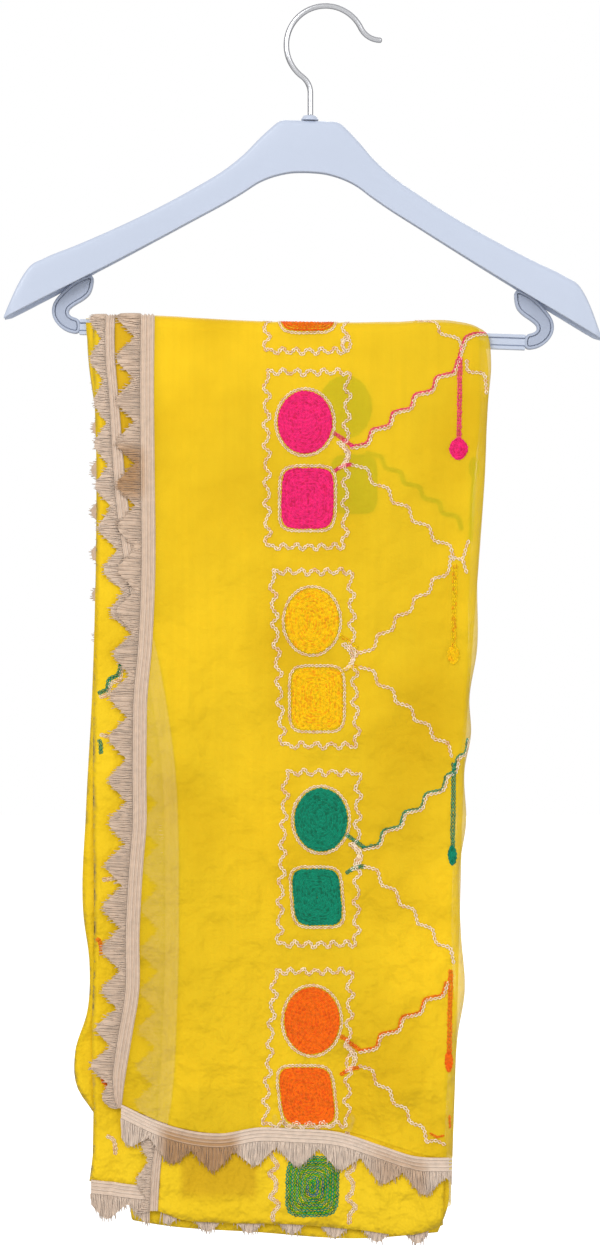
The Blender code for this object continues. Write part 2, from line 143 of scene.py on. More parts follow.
HEAD_X, HEAD_Z = -10.2, -81.7  # the middle of the head's top
TILT = math.radians(2.0)
ARM_COLOUR = (193, 202, 220)
ARM_STATIONS = 190
ARM_WALL = 2.2
TOP_ROUNDING = 4.2
TOP_TURN = (0.0, 18.0, 36.0, 54.0, 72.0, 90.0)  # degrees round each top edge
TOP_SHARE, CHANNEL_SHARE, LIP_SHARE = 0.4, 0.42, 0.15  # the most of the arm's height that each takes
FOOT_UP, FOOT_ACROSS = 0.5, 0.4  # the rounding of the lower edges
CHANNEL_DEEP = 9.0
BACK_LIP = 1.6
LIP_FROM = 150.0
LIP_RUN = 30.0
ARM_ROWS = (
    # out, top, underside, depth, forward
    (0.0, -0.3, -37.5, 11.0, 0.0),
    (12.0, -0.4, -38.2, 11.0, 0.0),
    (22.0, -1.5, -40.5, 11.0, 0.0),
    (29.0, -7.5, -43.0, 11.0, 0.0),
    (36.0, -14.5, -46.5, 11.2, 0.0),
    (46.0, -25.5, -53.5, 11.4, 0.0),
    (56.0, -34.5, -60.0, 11.6, 0.2),
    (83.0, -52.8, -76.0, 12.2, 0.8),
    (111.0, -69.3, -92.5, 13.4, 2.0),
    (138.0, -83.7, -108.2, 15.4, 3.6),
    (166.0, -97.4, -124.0, 17.8, 5.4),
    (188.0, -107.6, -136.3, 19.6, 6.8),
    (198.0, -114.0, -142.0, 20.2, 7.4),
    (206.0, -127.5, -146.5, 19.4, 7.8),
    (212.0, -142.0, -149.8, 17.0, 8.0),
    (215.0, -150.2, -151.6, 13.0, 8.0),
)


def linear(red, green, blue):
    """A colour of 0 to 255 a channel as the linear light that a shader takes."""
    c = np.array([red, green, blue]) / 255.0
    return tuple(np.where(c <= 0.04045, c / 12.92, ((c + 0.055) / 1.055) ** 2.4)) + (1.0,)


def grid_faces(rows, columns, round_columns=False):
    """Quads between neighbours of a grid of points, numbered along each row in turn."""
    down = np.arange(rows - 1)[:, None]
    along = np.arange(columns if round_columns else columns - 1)[None, :]
    here, below = down * columns, (down + 1) * columns
    beside = (along + 1) % columns
    corners = (here + along, here + beside, below + beside, below + along)
    return np.stack([np.broadcast_to(c, (down.size, along.size)) for c in corners], axis=2).reshape(-1, 4)


def soften(obj, degrees=180.0):
    """Smooth shading, with edges sharper than this left crisp."""
    obj.data.shade_smooth()
    if degrees < 180.0:
        obj.data.set_sharp_from_angle(angle=math.radians(degrees))


def through(at, table, column):
    """Cubic curve through one column of a table against its first column, with the neighbours' slopes."""
    rows = np.array(table, dtype=float)
    rows = rows[np.argsort(rows[:, 0])]
    knots, values = rows[:, 0], rows[:, column]
    slopes = np.gradient(values, knots)
    at = np.clip(at, knots[0], knots[-1])
    i = np.clip(np.searchsorted(knots, at) - 1, 0, len(knots) - 2)
    span = knots[i + 1] - knots[i]
    f = (at - knots[i]) / span
    start = (1 + 2 * f) * (1 - f) ** 2 * values[i] + f * (1 - f) ** 2 * span * slopes[i]
    end = f**2 * (3 - 2 * f) * values[i + 1] - f**2 * (1 - f) * span * slopes[i + 1]
    return start + end


def hanger_place(out, y, up):
    """Points given out and up from the top of the hanger's head, turned with the hanger."""
    x = HEAD_X + out * math.cos(TILT) + up * math.sin(TILT)
    z = HEAD_Z - out * math.sin(TILT) + up * math.cos(TILT)
    return np.stack([x, y, z], axis=-1)


def signed_volume(mesh):
    """Six times the volume that the faces close in: positive when they face outward."""
    mesh.calc_loop_triangles()
    corners = np.empty(len(mesh.loop_triangles) * 3, np.int32)
    mesh.loop_triangles.foreach_get("vertices", corners)
    points = np.empty(len(mesh.vertices) * 3, np.float32)
    mesh.vertices.foreach_get("co", points)
    return np.linalg.det(points.reshape(-1, 3)[corners.reshape(-1, 3)]).sum()


def loft(name, rings, material):
    """A closed solid through a stack of closed rings, with a face on each end, turned outward."""
    count, around = rings.shape[:2]
    numbers = np.arange(count * around).reshape(count, around)
    faces = [list(f) for f in grid_faces(count, around, round_columns=True)]
    faces += [list(numbers[0][::-1]), list(numbers[-1])]
    obj = mesh_object(name, rings.reshape(-1, 3), faces, material)
    if signed_volume(obj.data) < 0:
        obj.data.flip_normals()
    return obj


def build_uneven_group():
    """Node group: a colour made lighter and darker in patches. Colour x (1 + Amount x (noise - 0.5))."""
    group = bpy.data.node_groups.new("uneven colour", "ShaderNodeTree")
    for name, kind in (("Colour", "Color"), ("Size", "Float"), ("Amount", "Float"), ("Stretch", "Vector")):
        group.interface.new_socket(name, in_out="INPUT", socket_type=f"NodeSocket{kind}")
    group.interface.new_socket("Colour", in_out="OUTPUT", socket_type="NodeSocketColor")
    nodes, links = group.nodes, group.links
    given, made = nodes.new("NodeGroupInput").outputs, nodes.new("NodeGroupOutput").inputs
    stretch = add_node(nodes, "VectorMath", operation="MULTIPLY")
    noise = add_node(nodes, "TexNoise", Detail=3.0)
    centre = add_node(nodes, "Math", operation="SUBTRACT")
    centre.inputs[1].default_value = 0.5
    factor = add_node(nodes, "Math", operation="MULTIPLY_ADD")
    factor.inputs[2].default_value = 1.0
    tint = add_node(nodes, "VectorMath", operation="SCALE")
    links.new(add_node(nodes, "TexCoord").outputs["Object"], stretch.inputs[0])
    links.new(given["Stretch"], stretch.inputs[1])
    links.new(stretch.outputs[0], noise.inputs["Vector"])
    links.new(given["Size"], noise.inputs["Scale"])
    links.new(noise.outputs["Fac"], centre.inputs[0])
    links.new(centre.outputs[0], factor.inputs[0])
    links.new(given["Amount"], factor.inputs[1])
    links.new(given["Colour"], tint.inputs[0])
    links.new(factor.outputs[0], tint.inputs["Scale"])
    links.new(tint.outputs[0], made["Colour"])
    return group


UNEVEN = build_uneven_group()


def uneven(nodes, links, colour, scale, amount, stretch=(1.0, 1.0, 1.0)):
    """The group's colour output for a colour, or for a colour output, a noise scale per metre and amount."""
    node = add_node(nodes, "Group", node_tree=UNEVEN, Size=scale, Amount=amount, Stretch=stretch)
    if isinstance(colour, tuple):
        node.inputs["Colour"].default_value = colour
    else:
        links.new(colour, node.inputs["Colour"])
    return node.outputs["Colour"]


def noise(nodes, links, scale, detail=2.0):
    """The factor output of a noise on Object coordinates, at this scale per metre."""
    node = add_node(nodes, "TexNoise", Scale=scale, Detail=detail)
    links.new(add_node(nodes, "TexCoord").outputs["Object"], node.inputs["Vector"])
    return node.outputs["Fac"]


def bump(nodes, links, height, distance, strength, over=None):
    """A Bump node's normal output from a height output, on top of another bump's normal if one is given."""
    node = add_node(nodes, "Bump", Distance=distance * MM, Strength=strength)
    links.new(height, node.inputs["Height"])
    if over:
        links.new(over, node.inputs["Normal"])
    return node.outputs["Normal"]


plastic, nodes, links, shader = new_material(
    "hanger plastic", 0.38, Specular_IOR_Level=0.42, Coat_Weight=0.12
)
links.new(uneven(nodes, links, linear(*ARM_COLOUR), 9.0, 0.05), shader.inputs["Base Color"])
links.new(bump(nodes, links, noise(nodes, links, 1400.0), 0.05, 0.25), shader.inputs["Normal"])

out = np.linspace(-1.0, 1.0, ARM_STATIONS) * ARM_ROWS[-1][0]
reach = np.abs(out)
top, underside, depth, forward = (through(reach, ARM_ROWS, column) for column in (1, 2, 3, 4))
tall = top - underside
half = depth / 2
inner = half - ARM_WALL
soft = np.minimum(TOP_ROUNDING, TOP_SHARE * tall)
groove = underside + np.minimum(CHANNEL_DEEP, CHANNEL_SHARE * tall)
back = underside - np.minimum(BACK_LIP * np.clip((reach - LIP_FROM) / LIP_RUN, 0, 1), LIP_SHARE * tall)
quarter = [(1 - math.cos(a), 1 - math.sin(a)) for a in np.radians(TOP_TURN)]
section = [(-half, underside + FOOT_UP), (-half, (top + underside) / 2)]
section += [(soft * across - half, top - soft * down) for across, down in quarter]
section += [(0.0, top)]
section += [(half - soft * across, top - soft * down) for across, down in quarter[::-1]]
section += [(half, back + FOOT_UP), (half - FOOT_ACROSS, back), (inner + FOOT_ACROSS, back)]
section += [(inner, back + FOOT_UP), (inner, groove), (-inner, groove), (-inner, underside + FOOT_UP)]
section += [(-inner - FOOT_ACROSS, underside), (-half + FOOT_ACROSS, underside)]
y, up = (np.stack([point[i] + 0 * out for point in section], axis=1) for i in (0, 1))
rings = hanger_place(np.repeat(out[:, None], len(section), axis=1), y - forward[:, None], up)
arms = loft("arms of the hanger", rings, plastic)
soften(arms, 32.0)
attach(arms, "root")
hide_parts("hanger_arms")

# Trouser bar: a straight bar of the same plastic, moulded in one with the rest. It is an I in section,
# a flange above and below a thinner web, with a fine groove inside each flange.

BAR_HALF_LENGTH = 161.0
BAR_UP = -155.0
BAR_HEIGHT = 11.0
BAR_DEPTH = 8.0
BAR_ROUNDING = 0.3
BAR_STATIONS = 9
FLANGE = 2.4
WEB_DEPTH = 6.4
GROOVE = 0.8
GROOVE_DEEP = 2.2

edge, web, rise = BAR_DEPTH / 2, WEB_DEPTH / 2, BAR_HEIGHT / 2
quarter = [
    (edge, -rise),
    (edge, -rise + FLANGE),
    (edge - GROOVE_DEEP, -rise + FLANGE),
    (edge - GROOVE_DEEP, -rise + FLANGE + GROOVE),
    (web, -rise + FLANGE + GROOVE),
]
back_half = quarter + [(y, -up) for y, up in quarter[::-1]]
section = np.array(back_half + [(-y, up) for y, up in back_half[::-1]])
out = np.linspace(-BAR_HALF_LENGTH, BAR_HALF_LENGTH, BAR_STATIONS)
y, up = (np.tile(section[:, i], (len(out), 1)) for i in (0, 1))
rings = hanger_place(np.repeat(out[:, None], len(section), axis=1), y, up + BAR_UP)
bar = loft("trouser bar of the hanger", rings, plastic)
rounding = bar.modifiers.new("soft edges", "BEVEL")
rounding.width = BAR_ROUNDING * MM
rounding.segments = 2
rounding.limit_method = "ANGLE"
soften(bar, 32.0)
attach(bar, "root")
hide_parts("trouser_bar")

# Brackets: a flat hooked plate under each arm that carries an end of the bar, with a raised rim all round
# both faces. They are painted a little greyer than the arms, as painted shade on the same plastic.

BRACKET_SHADED_COLOUR = (172, 181, 200)
BRACKET_DEPTH = 7.0
BRACKET_POINTS = 110
CORNER_CUTS = 3
RIM = 1.9
BRACKET_OUTLINE = (
    # out, up: round from the foot of the arm, down the outer side and back up the inner side
    (164.0, -121.0),
    (170.0, -126.0),
    (176.5, -132.4),
    (180.4, -138.0),
    (181.6, -143.5),
    (180.6, -149.0),
    (177.0, -154.4),
    (170.0, -159.2),
    (160.4, -160.5),
    (160.4, -149.5),
    (167.0, -148.0),
    (169.6, -145.2),
    (168.2, -141.4),
    (156.0, -134.0),
    (152.4, -127.5),
    (151.6, -116.0),
)
BRACKET_RIM = (
    # inset from the outline, depth below the plate's face, from the plate's middle to its edge
    (RIM + GROOVE, 0.9),
    (RIM + GROOVE, GROOVE_DEEP),
    (RIM, GROOVE_DEEP),
    (RIM, 0.0),
    (0.6, 0.0),
    (0.0, 0.6),
)


def smooth_loop(corners, points):
    """A closed loop of evenly spaced points through rounded corners: each pass cuts every corner."""
    loop = np.array(corners)
    for _ in range(CORNER_CUTS):
        ahead = np.roll(loop, -1, axis=0)
        loop = np.stack([0.75 * loop + 0.25 * ahead, 0.25 * loop + 0.75 * ahead], axis=1).reshape(-1, 2)
    loop = np.vstack([loop, loop[:1]])
    steps = np.concatenate([[0.0], np.cumsum(np.hypot(*np.diff(loop, axis=0).T))])
    marks = np.linspace(0, steps[-1], points, endpoint=False)
    return np.stack([np.interp(marks, steps, loop[:, 0]), np.interp(marks, steps, loop[:, 1])], axis=1)


def inset(loop, by):
    """The loop moved inward by this much, along the normal to the line through each point's neighbours."""
    way = np.roll(loop, -1, axis=0) - np.roll(loop, 1, axis=0)
    way /= np.hypot(way[:, 0], way[:, 1])[:, None]
    turn = np.sign(np.sum(loop[:, 0] * np.roll(loop[:, 1], -1) - np.roll(loop[:, 0], -1) * loop[:, 1]))
    return loop + by * turn * np.stack([-way[:, 1], way[:, 0]], axis=1)


# Painted shade: the brackets take a greyer copy of the arms' plastic.
shaded_plastic, nodes, links, shader = new_material("bracket plastic", 0.42, Specular_IOR_Level=0.42)
links.new(uneven(nodes, links, linear(*BRACKET_SHADED_COLOUR), 60.0, 0.16), shader.inputs["Base Color"])
outline = smooth_loop(BRACKET_OUTLINE, BRACKET_POINTS)
plate = [(inset(outline, by), below - BRACKET_DEPTH / 2) for by, below in BRACKET_RIM]
plate += [(inset(outline, by), BRACKET_DEPTH / 2 - below) for by, below in BRACKET_RIM[::-1]]
for side, hand in ((-1, "left"), (1, "right")):
    rings = [hanger_place(side * loop[:, 0], np.full(len(loop), y), loop[:, 1]) for loop, y in plate]
    bracket = loft(f"{hand} bracket of the hanger", np.stack(rings), shaded_plastic)
    soften(bracket, 35.0)
    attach(bracket, "root")
    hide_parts(f"bracket_{hand}")

# Hook: a bright steel wire, bent in one plane from a straight stem through three arcs to a rounded
# tip. It swivels in the head of the hanger.

STEEL_PAINTED_REFLECTION = (
    # painted reflection: how far the surface turns away, red, green, blue
    (0.12, 228, 229, 233),
    (0.72, 104, 104, 112),
)
WIRE = 4.0
WIRE_SIDES = 18
STEM_X = -9.8
STEM_BOTTOM, STEM_TOP = -77.6, -62.0
STEM_STEPS = 4
BEND_STEP = 3.0  # degrees
HOOK_BENDS = (
    # turn in degrees, radius; a left turn is positive
    (54.8, 15.4),
    (-206.8, 28.3),
    (60.0, 16.0),
)
TIP_ROWS = (
    # beyond the last bend, share of the wire's radius
    (0.5, 0.97),
    (1.0, 0.85),
    (1.4, 0.6),
    (1.6, 0.25),
)

steel, nodes, links, shader = new_material("hook steel", 0.24, Metallic=1.0)
# Painted reflection: the base colour runs from bright where the wire faces the camera to dark where its
# surface turns away, by the facing ramp below.
rim = add_node(nodes, "LayerWeight", Blend=0.5)
painted_reflection = add_node(nodes, "ValToRGB")
for stop, (position, *painted_tone) in zip(painted_reflection.color_ramp.elements, STEEL_PAINTED_REFLECTION):
    stop.color = linear(*painted_tone)
    stop.position = position
links.new(rim.outputs["Facing"], painted_reflection.inputs["Fac"])
links.new(painted_reflection.outputs["Color"], shader.inputs["Base Color"])
links.new(bump(nodes, links, noise(nodes, links, 260.0), 0.03, 0.15), shader.inputs["Normal"])


def wire_route():
    """x and z of the wire's centre line: a straight stem and three arcs, each from the last one's end.
    An arc is a chain of equal chords, the first of all turned by half a step."""
    headings = [np.full(STEM_STEPS, math.pi / 2)]
    lengths = [np.full(STEM_STEPS, (STEM_TOP - STEM_BOTTOM) / STEM_STEPS)]
    for turn, radius in HOOK_BENDS:
        steps = math.ceil(abs(turn) / BEND_STEP)
        step = math.radians(turn) / steps
        first = step / 2 if len(headings) == 1 else step
        headings.append(headings[-1][-1] + first + step * np.arange(steps))
        lengths.append(np.full(steps, 2 * radius * math.sin(abs(step) / 2)))
    heading, length = np.concatenate(headings), np.concatenate(lengths)
    x = STEM_X + np.concatenate([[0.0], np.cumsum(length * np.cos(heading))])
    z = STEM_BOTTOM + np.concatenate([[0.0], np.cumsum(length * np.sin(heading))])
    return np.stack([x, z], axis=1)


route = wire_route()
last = route[-1] - route[-2]
beyond, taper = np.array(TIP_ROWS).T
radius = WIRE / 2 * np.concatenate([np.ones(len(route)), taper])[:, None]
route = np.vstack([route, route[-1] + beyond[:, None] * last / np.hypot(*last)])
way = np.gradient(route, axis=0)
way /= np.hypot(way[:, 0], way[:, 1])[:, None]
around = np.linspace(0, 2 * math.pi, WIRE_SIDES, endpoint=False)
beside = radius * np.cos(around)
rings = np.stack([
    route[:, 0:1] - way[:, 1:2] * beside,
    radius * np.sin(around),
    route[:, 1:2] + way[:, 0:1] * beside,
], axis=2)
hook = loft("steel hook", rings, steel)
soften(hook, 50.0)
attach(hook, "root")
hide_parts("hook")

# Collar: a small turned cone of the arms' plastic on top of the head, where the hook's stem goes in.
# It is one profile carried round the stem.

COLLAR_SIDES = 40
COLLAR_PROFILE = (
    # radius, up
    (6.2, 0.15),
    (6.2, 1.0),
    (5.8, 1.5),
    (4.9, 3.0),
    (4.4, 3.35),
    (2.3, 3.35),
)

around = np.linspace(0, 2 * math.pi, COLLAR_SIDES, endpoint=False)
radius, up = (column[:, None] for column in np.array(COLLAR_PROFILE).T)
rings = hanger_place(radius * np.cos(around), radius * np.sin(around), np.repeat(up, COLLAR_SIDES, axis=1))
collar = loft("plastic collar of the hook", rings, plastic)
soften(collar, 35.0)
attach(collar, "root")
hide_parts("hook_collar")

# Stole: fine crinkled golden yellow cloth, slightly sheer, about a metre wide. It is folded lengthwise
# into a stack and the stack goes over the bar. Each layer that shows is one sheet, from its front hem
# up over the bar and down to its hem at the back, with the folds that all the layers share.

SQUEEZED = 0.76  # share of its depth that the stack has where the bar presses it together
SPREADS_OVER = 90.0
SPREADS_AS = 0.7
CLOTH_TOP = -240.0
REST_GAP = 0.4
SADDLE_LEG = 14.6
LEG_BLEND = 20.0
TIGHT_RUN, TIGHT_END = 60.0, 110.0  # where the folds at the sides tighten over the bar
TIGHTENS = 0.55
BACK_BOTTOM = -862.0
CURL_RADIUS = 5.0
CURL_TURN = 1.1
PROBE = 0.5
SHEER_COLOUR = (249, 212, 30)
SHEER_ALPHA = 0.62
UNDER_COLOUR = (245, 205, 30)
OLIVE = (228, 186, 14)
# Colour that painted shade multiplies the cloth by.
IN_SHADOW = (0.68, 0.58, 0.5, 1.0)
UNDER_THICK = 0.4
# Shares of painted shade on the second layer: the low oblong and the cloth between the lace teeth.
OBLONG_SHADE, BETWEEN_SHADE = 0.68, 0.8
SADDLE_ROWS = (
    # x, top
    (-173.4, -222.2),
    (-150.0, -222.0),
    (-122.0, -222.6),
    (-70.0, -225.6),
    (-17.0, -227.6),
    (50.0, -227.2),
    (95.0, -226.8),
    (108.0, -229.6),
    (116.6, -234.0),
)
FRONT_ROWS = (
    # up, left edge, right fold
    (-829.0, -147.0, 92.8),
    (-791.0, -145.4, 94.0),
    (-741.0, -138.0, 96.6),
    (-712.0, -133.2, 101.4),
    (-669.0, -132.8, 98.8),
    (-620.0, -130.2, 97.8),
    (-590.0, -127.8, 102.4),
    (-550.0, -127.9, 101.4),
    (-525.0, -127.6, 106.0),
    (-500.0, -127.2, 104.9),
    (-464.0, -124.0, 110.4),
    (-414.0, -121.6, 110.6),
    (-340.0, -121.8, 116.0),
    (-285.0, -122.4, 118.4),
    (-258.0, -122.4, 120.6),
    (-240.0, -122.2, 119.4),
    (-222.0, -122.2, 116.0),
    (-205.0, -124.0, 118.4),
    (-145.0, -123.0, 117.6),
    (-25.0, -124.6, 110.0),
    (95.0, -127.0, 102.0),
    (215.0, -129.8, 98.4),
    (335.0, -131.2, 95.0),
    (417.0, -132.6, 92.0),
)
FRONT_HEM = (
    # share of the width, up
    (0.0, -791.0),
    (0.12, -804.0),
    (0.3, -812.0),
    (0.42, -807.6),
    (0.52, -808.6),
    (0.66, -811.6),
    (0.78, -820.6),
    (0.88, -828.0),
    (1.0, -829.4),
)
SECOND_ROWS = (
    # up, left edge, right edge
    (-875.0, -120.0, 85.6),
    (-833.0, -117.2, 86.6),
    (-790.0, -110.0, 88.0),
    (-717.0, -105.6, 92.0),
    (-645.0, -104.4, 92.0),
    (-544.0, -107.8, 98.0),
    (-486.0, -116.4, 103.0),
    (-428.0, -128.6, 104.0),
    (-365.0, -140.2, 106.0),
    (-290.0, -147.4, 112.4),
    (-240.0, -151.0, 112.0),
    (-200.0, -149.0, 111.0),
    (-115.0, -145.0, 106.0),
    (-23.0, -144.0, 103.0),
    (95.0, -138.0, 96.0),
    (413.0, -137.0, 85.0),
)
SECOND_HEM = (
    # share of the width, up
    (0.0, -868.0),
    (0.08, -874.0),
    (0.2, -876.4),
    (0.45, -877.6),
    (0.7, -882.0),
    (0.92, -884.0),
    (1.0, -878.0),
)
THIRD_ROWS = (
    # up, left fold, right edge
    (-857.0, -170.6, 80.0),
    (-826.0, -166.6, 84.0),
    (-755.0, -167.4, 86.0),
    (-664.0, -165.8, 88.0),
    (-545.0, -166.6, 92.0),
    (-430.0, -165.0, 101.0),
    (-313.0, -164.6, 104.0),
    (-240.0, -167.0, 104.0),
    (-200.0, -166.0, 104.0),
    (-100.0, -160.0, 102.0),
    (95.0, -163.0, 94.0),
    (413.0, -168.0, 84.0),
)
THIRD_HEM = (
    # share of the width, up
    (0.0, -846.0),
    (0.15, -850.0),
    (1.0, -852.0),
)
INNER_ROWS = (
    # up, left fold, right edge
    (-884.0, -138.4, 82.0),
    (-868.0, -140.6, 88.6),
    (-830.0, -150.0, 88.4),
    (-796.0, -168.0, 86.4),
    (-783.0, -177.2, 86.8),
    (-755.0, -180.4, 87.6),
    (-725.0, -171.4, 94.6),
    (-690.0, -169.6, 91.0),
    (-655.0, -174.2, 91.0),
    (-577.0, -172.2, 94.4),
    (-500.0, -168.0, 97.4),
    (-430.0, -166.0, 104.0),
    (-313.0, -165.6, 108.0),
    (-257.0, -169.4, 109.6),
    (-240.0, -172.4, 108.0),
    (-200.0, -172.6, 106.0),
    (-100.0, -157.0, 100.0),
    (95.0, -160.0, 92.0),
    (413.0, -165.0, 82.0),
)
INNER_HEM = (
    # share of the width, up
    (0.0, -872.0),
    (0.2, -880.0),
    (0.45, -884.0),
    (0.75, -889.0),
    (1.0, -884.0),
)
SHEETS = {
    # y of the front and back falls, share of the height over the bar, edges, side and radius of the fold
    "outer": dict(front=-12.4, back=11.0, share=1.0, rows=FRONT_ROWS, hem=FRONT_HEM, fold=1, radius=6.0),
    "second": dict(front=-10.7, back=9.2, share=0.8, rows=SECOND_ROWS, hem=SECOND_HEM, fold=0, radius=0.0),
    "third": dict(front=-9.0, back=7.6, share=0.58, rows=THIRD_ROWS, hem=THIRD_HEM, fold=-1, radius=1.0),
    "inner": dict(front=-5.9, back=5.9, share=0.3, rows=INNER_ROWS, hem=INNER_HEM, fold=-1, radius=1.3),
}
CREASES = (
    # x, up, lean in degrees, half length, half width, depth
    (-96.0, -330.0, 2.0, 120.0, 9.0, 1.1),
    (-52.0, -300.0, -3.0, 90.0, 7.0, 0.7),
    (62.0, -292.0, 4.0, 70.0, 8.0, 0.9),
    (88.0, -420.0, -2.0, 130.0, 6.0, 1.2),
    (40.0, -520.0, 3.0, 110.0, 10.0, 1.0),
    (-80.0, -560.0, -4.0, 130.0, 11.0, 1.3),
    (-104.0, -720.0, 3.0, 90.0, 7.0, 1.2),
    (-70.0, -775.0, -24.0, 44.0, 6.0, 0.9),
    (74.0, -690.0, 5.0, 100.0, 9.0, 1.4),
    (26.0, -770.0, -8.0, 52.0, 7.0, 1.0),
    (-86.0, -489.0, 88.0, 46.0, 1.6, 0.5),
    (-84.0, -541.0, 91.0, 44.0, 1.6, 0.5),
    (-110.0, -470.0, -44.0, 26.0, 2.4, 0.6),
    (-150.0, -838.0, 12.0, 38.0, 4.0, 2.8),
    (-160.0, -700.0, -4.0, 60.0, 4.0, 1.8),
    (-172.0, -757.0, -8.0, 32.0, 3.6, 2.2),
    (-128.0, -842.0, -16.0, 32.0, 4.2, 2.6),
    (-92.0, -846.0, 26.0, 26.0, 4.4, 2.2),
    (-64.0, -858.0, 74.0, 34.0, 3.0, 1.4),
    (48.0, -858.0, -68.0, 34.0, 3.4, 1.8),
    (68.0, -842.0, -40.0, 26.0, 3.4, 1.8),
    (-116.0, -560.0, 2.0, 80.0, 4.0, 0.8),
    (-104.0, -640.0, 6.0, 70.0, 3.6, 0.7),
    (-40.0, -690.0, 86.0, 50.0, 2.2, 0.4),
    (60.0, -600.0, -82.0, 40.0, 2.2, 0.4),
    (-60.0, 60.0, 3.0, 150.0, 9.0, 1.2),
    (50.0, 20.0, -3.0, 120.0, 8.0, 1.0),
    (10.0, 250.0, 2.0, 140.0, 10.0, 1.3),
    (-90.0, 320.0, -5.0, 90.0, 8.0, 1.1),
)
DRAPE_RUN = 640.0
DRAPES = (
    # depth, shift, lean, length
    (1.5, 40.0, 0.0, 168.0),
    (0.8, 0.0, -0.12, 96.0),
)
CRINKLES = (
    # depth, length across, length upright, turn for each seed
    (0.06, 5.1, 37.0, 1.0),
    (0.12, 11.3, -23.0, 2.1),
    (0.1, 23.0, 13.7, 3.7),
)


def bar_top(x):
    """Height of the top of the bar, which tilts with the hanger."""
    return HEAD_Z + (BAR_UP + BAR_HEIGHT / 2) / math.cos(TILT) - math.tan(TILT) * (x - HEAD_X)


def saddle_leg(x):
    """Height at which the stack is clear of the bar and hangs: a fixed drop below the bar's top."""
    return bar_top(x) - SADDLE_LEG


def spread(x, z):
    """Share of its full depth that the stack has at this height: squeezed at the bar, free lower down."""
    drop = np.clip((saddle_leg(x) - z) / SPREADS_OVER, 0, 1)
    return SQUEEZED + (1 - SQUEEZED) * drop**SPREADS_AS


def drape(x, z):
    """Soft upright folds that all layers share, deeper towards the hem: a sum of sine waves across."""
    low = np.clip((CLOTH_TOP - z) / DRAPE_RUN, 0, 1)
    folds = (deep * np.sin(2 * math.pi * (x + shift + lean * z) / long) for deep, shift, lean, long in DRAPES)
    return low * sum(folds)


def crease_depth(x, up):
    """Sum of the creases: each a trough, bell-shaped across and fading to nothing at both ends."""
    depth = np.zeros_like(x)
    for cx, cup, lean, long, wide, deep in CREASES:
        s, c = math.sin(math.radians(lean)), math.cos(math.radians(lean))
        along = (x - cx) * s + (up - cup) * c
        across = (x - cx) * c - (up - cup) * s
        fade = np.clip(1 - (along / long) ** 2, 0, 1) ** 2
        depth += deep * fade * np.exp(-((across / wide) ** 2))
    return depth


def crinkle(x, up, seed):
    """Fine unevenness of one layer: a sum of slanting sine waves of different lengths."""
    waves = (deep * np.sin(x / wide + up / tall + turn * seed) for deep, wide, tall, turn in CRINKLES)
    return sum(waves)


def hang(x, up, sheet):
    """Where a place of a sheet hangs. Below the bar it falls straight. Over it the sheet goes up, half
    round and down again. Past the fold the sheet turns half round the fold's radius, into the stack."""
    kind = SHEETS[sheet]
    side = kind["fold"]
    leg = saddle_leg(x)
    # Round the fold at one side.
    over = np.clip((up - leg + TIGHT_RUN) / TIGHT_RUN, 0, 1)
    over = over * np.clip((leg + TIGHT_END - up) / TIGHT_RUN, 0, 1)
    radius = kind["radius"] * (1 - TIGHTENS * over)
    turned = np.zeros_like(x)
    flat_x = x
    if side:
        edge = through(up, kind["rows"], 2 if side > 0 else 1)
        past = np.clip(side * (x - edge) + radius, 0, None)
        turned = np.clip(past / radius, 0, math.pi)
        beyond = past - turned * radius
        flat_x = x - side * past + side * (radius * np.sin(turned) - beyond)
    # Up the front, half round over the bar, and down the back.
    floor_y, ceiling_y = kind["front"] * SQUEEZED, kind["back"] * SQUEEZED
    half = (ceiling_y - floor_y) / 2
    seat = bar_top(x) + REST_GAP
    crown = seat + (through(x, SADDLE_ROWS, 1) - seat) * kind["share"]
    straight = np.maximum(crown - leg - half, 0.0)
    climbed = up - leg
    angle = np.clip((climbed - straight) / half, 0, math.pi)
    past_top = climbed > straight + half * math.pi / 2
    z_front = leg + np.minimum(climbed, straight) + half * np.sin(angle)
    z_back = leg + straight + half * np.sin(angle) - np.maximum(climbed - straight - half * math.pi, 0.0)
    z = np.where(past_top, z_back, z_front)
    # Forward and back: the layer's place in the stack, the shared folds, and its own creases.
    trough = crease_depth(x, up) + crinkle(x, up, len(sheet))
    below = z < leg
    y_front = kind["front"] * spread(x, z) + drape(x, z) + trough
    y_back = kind["back"] * spread(x, z) + drape(x, z) - trough
    y_over = (floor_y + ceiling_y) / 2 - half * np.cos(angle)
    fade = np.clip((leg - z) / LEG_BLEND, 0, 1)
    y_low = np.where(past_top, y_back, y_front)
    y_top = np.where(past_top, ceiling_y, floor_y)
    y = np.where(below, y_top + (y_low - y_top) * fade, y_over)
    y = np.where(below & (fade >= 1), y_low, y)
    inward_y = np.where(below, np.where(past_top, -1.0, 1.0), np.cos(angle))
    inward_z = np.where(below, 0.0, -np.sin(angle))
    sunk = radius * (1 - np.cos(turned))
    if sheet == "outer":
        # The outer layer's back hem curls under.
        under = np.where(past_top, np.clip((BACK_BOTTOM - z) / CURL_RADIUS, 0, CURL_TURN), 0.0)
        z = np.where(under > 0, BACK_BOTTOM - CURL_RADIUS * np.sin(under), z)
        y = y - CURL_RADIUS * (1 - np.cos(under))
    return np.stack([flat_x, y + sunk * inward_y, z + sunk * inward_z], axis=-1)


def lay_on(x, up, lift, sheet):
    """Points above a sheet: its place plus lift along the normal, from neighbours a probe's length away."""
    here = hang(x, up, sheet)
    east = hang(x + PROBE, up, sheet) - hang(x - PROBE, up, sheet)
    north = hang(x, up + PROBE, sheet) - hang(x, up - PROBE, sheet)
    normal = np.cross(east, north)
    normal /= np.maximum(np.linalg.norm(normal, axis=-1, keepdims=True), 1e-9)
    return here + normal * np.asarray(lift)[..., None]


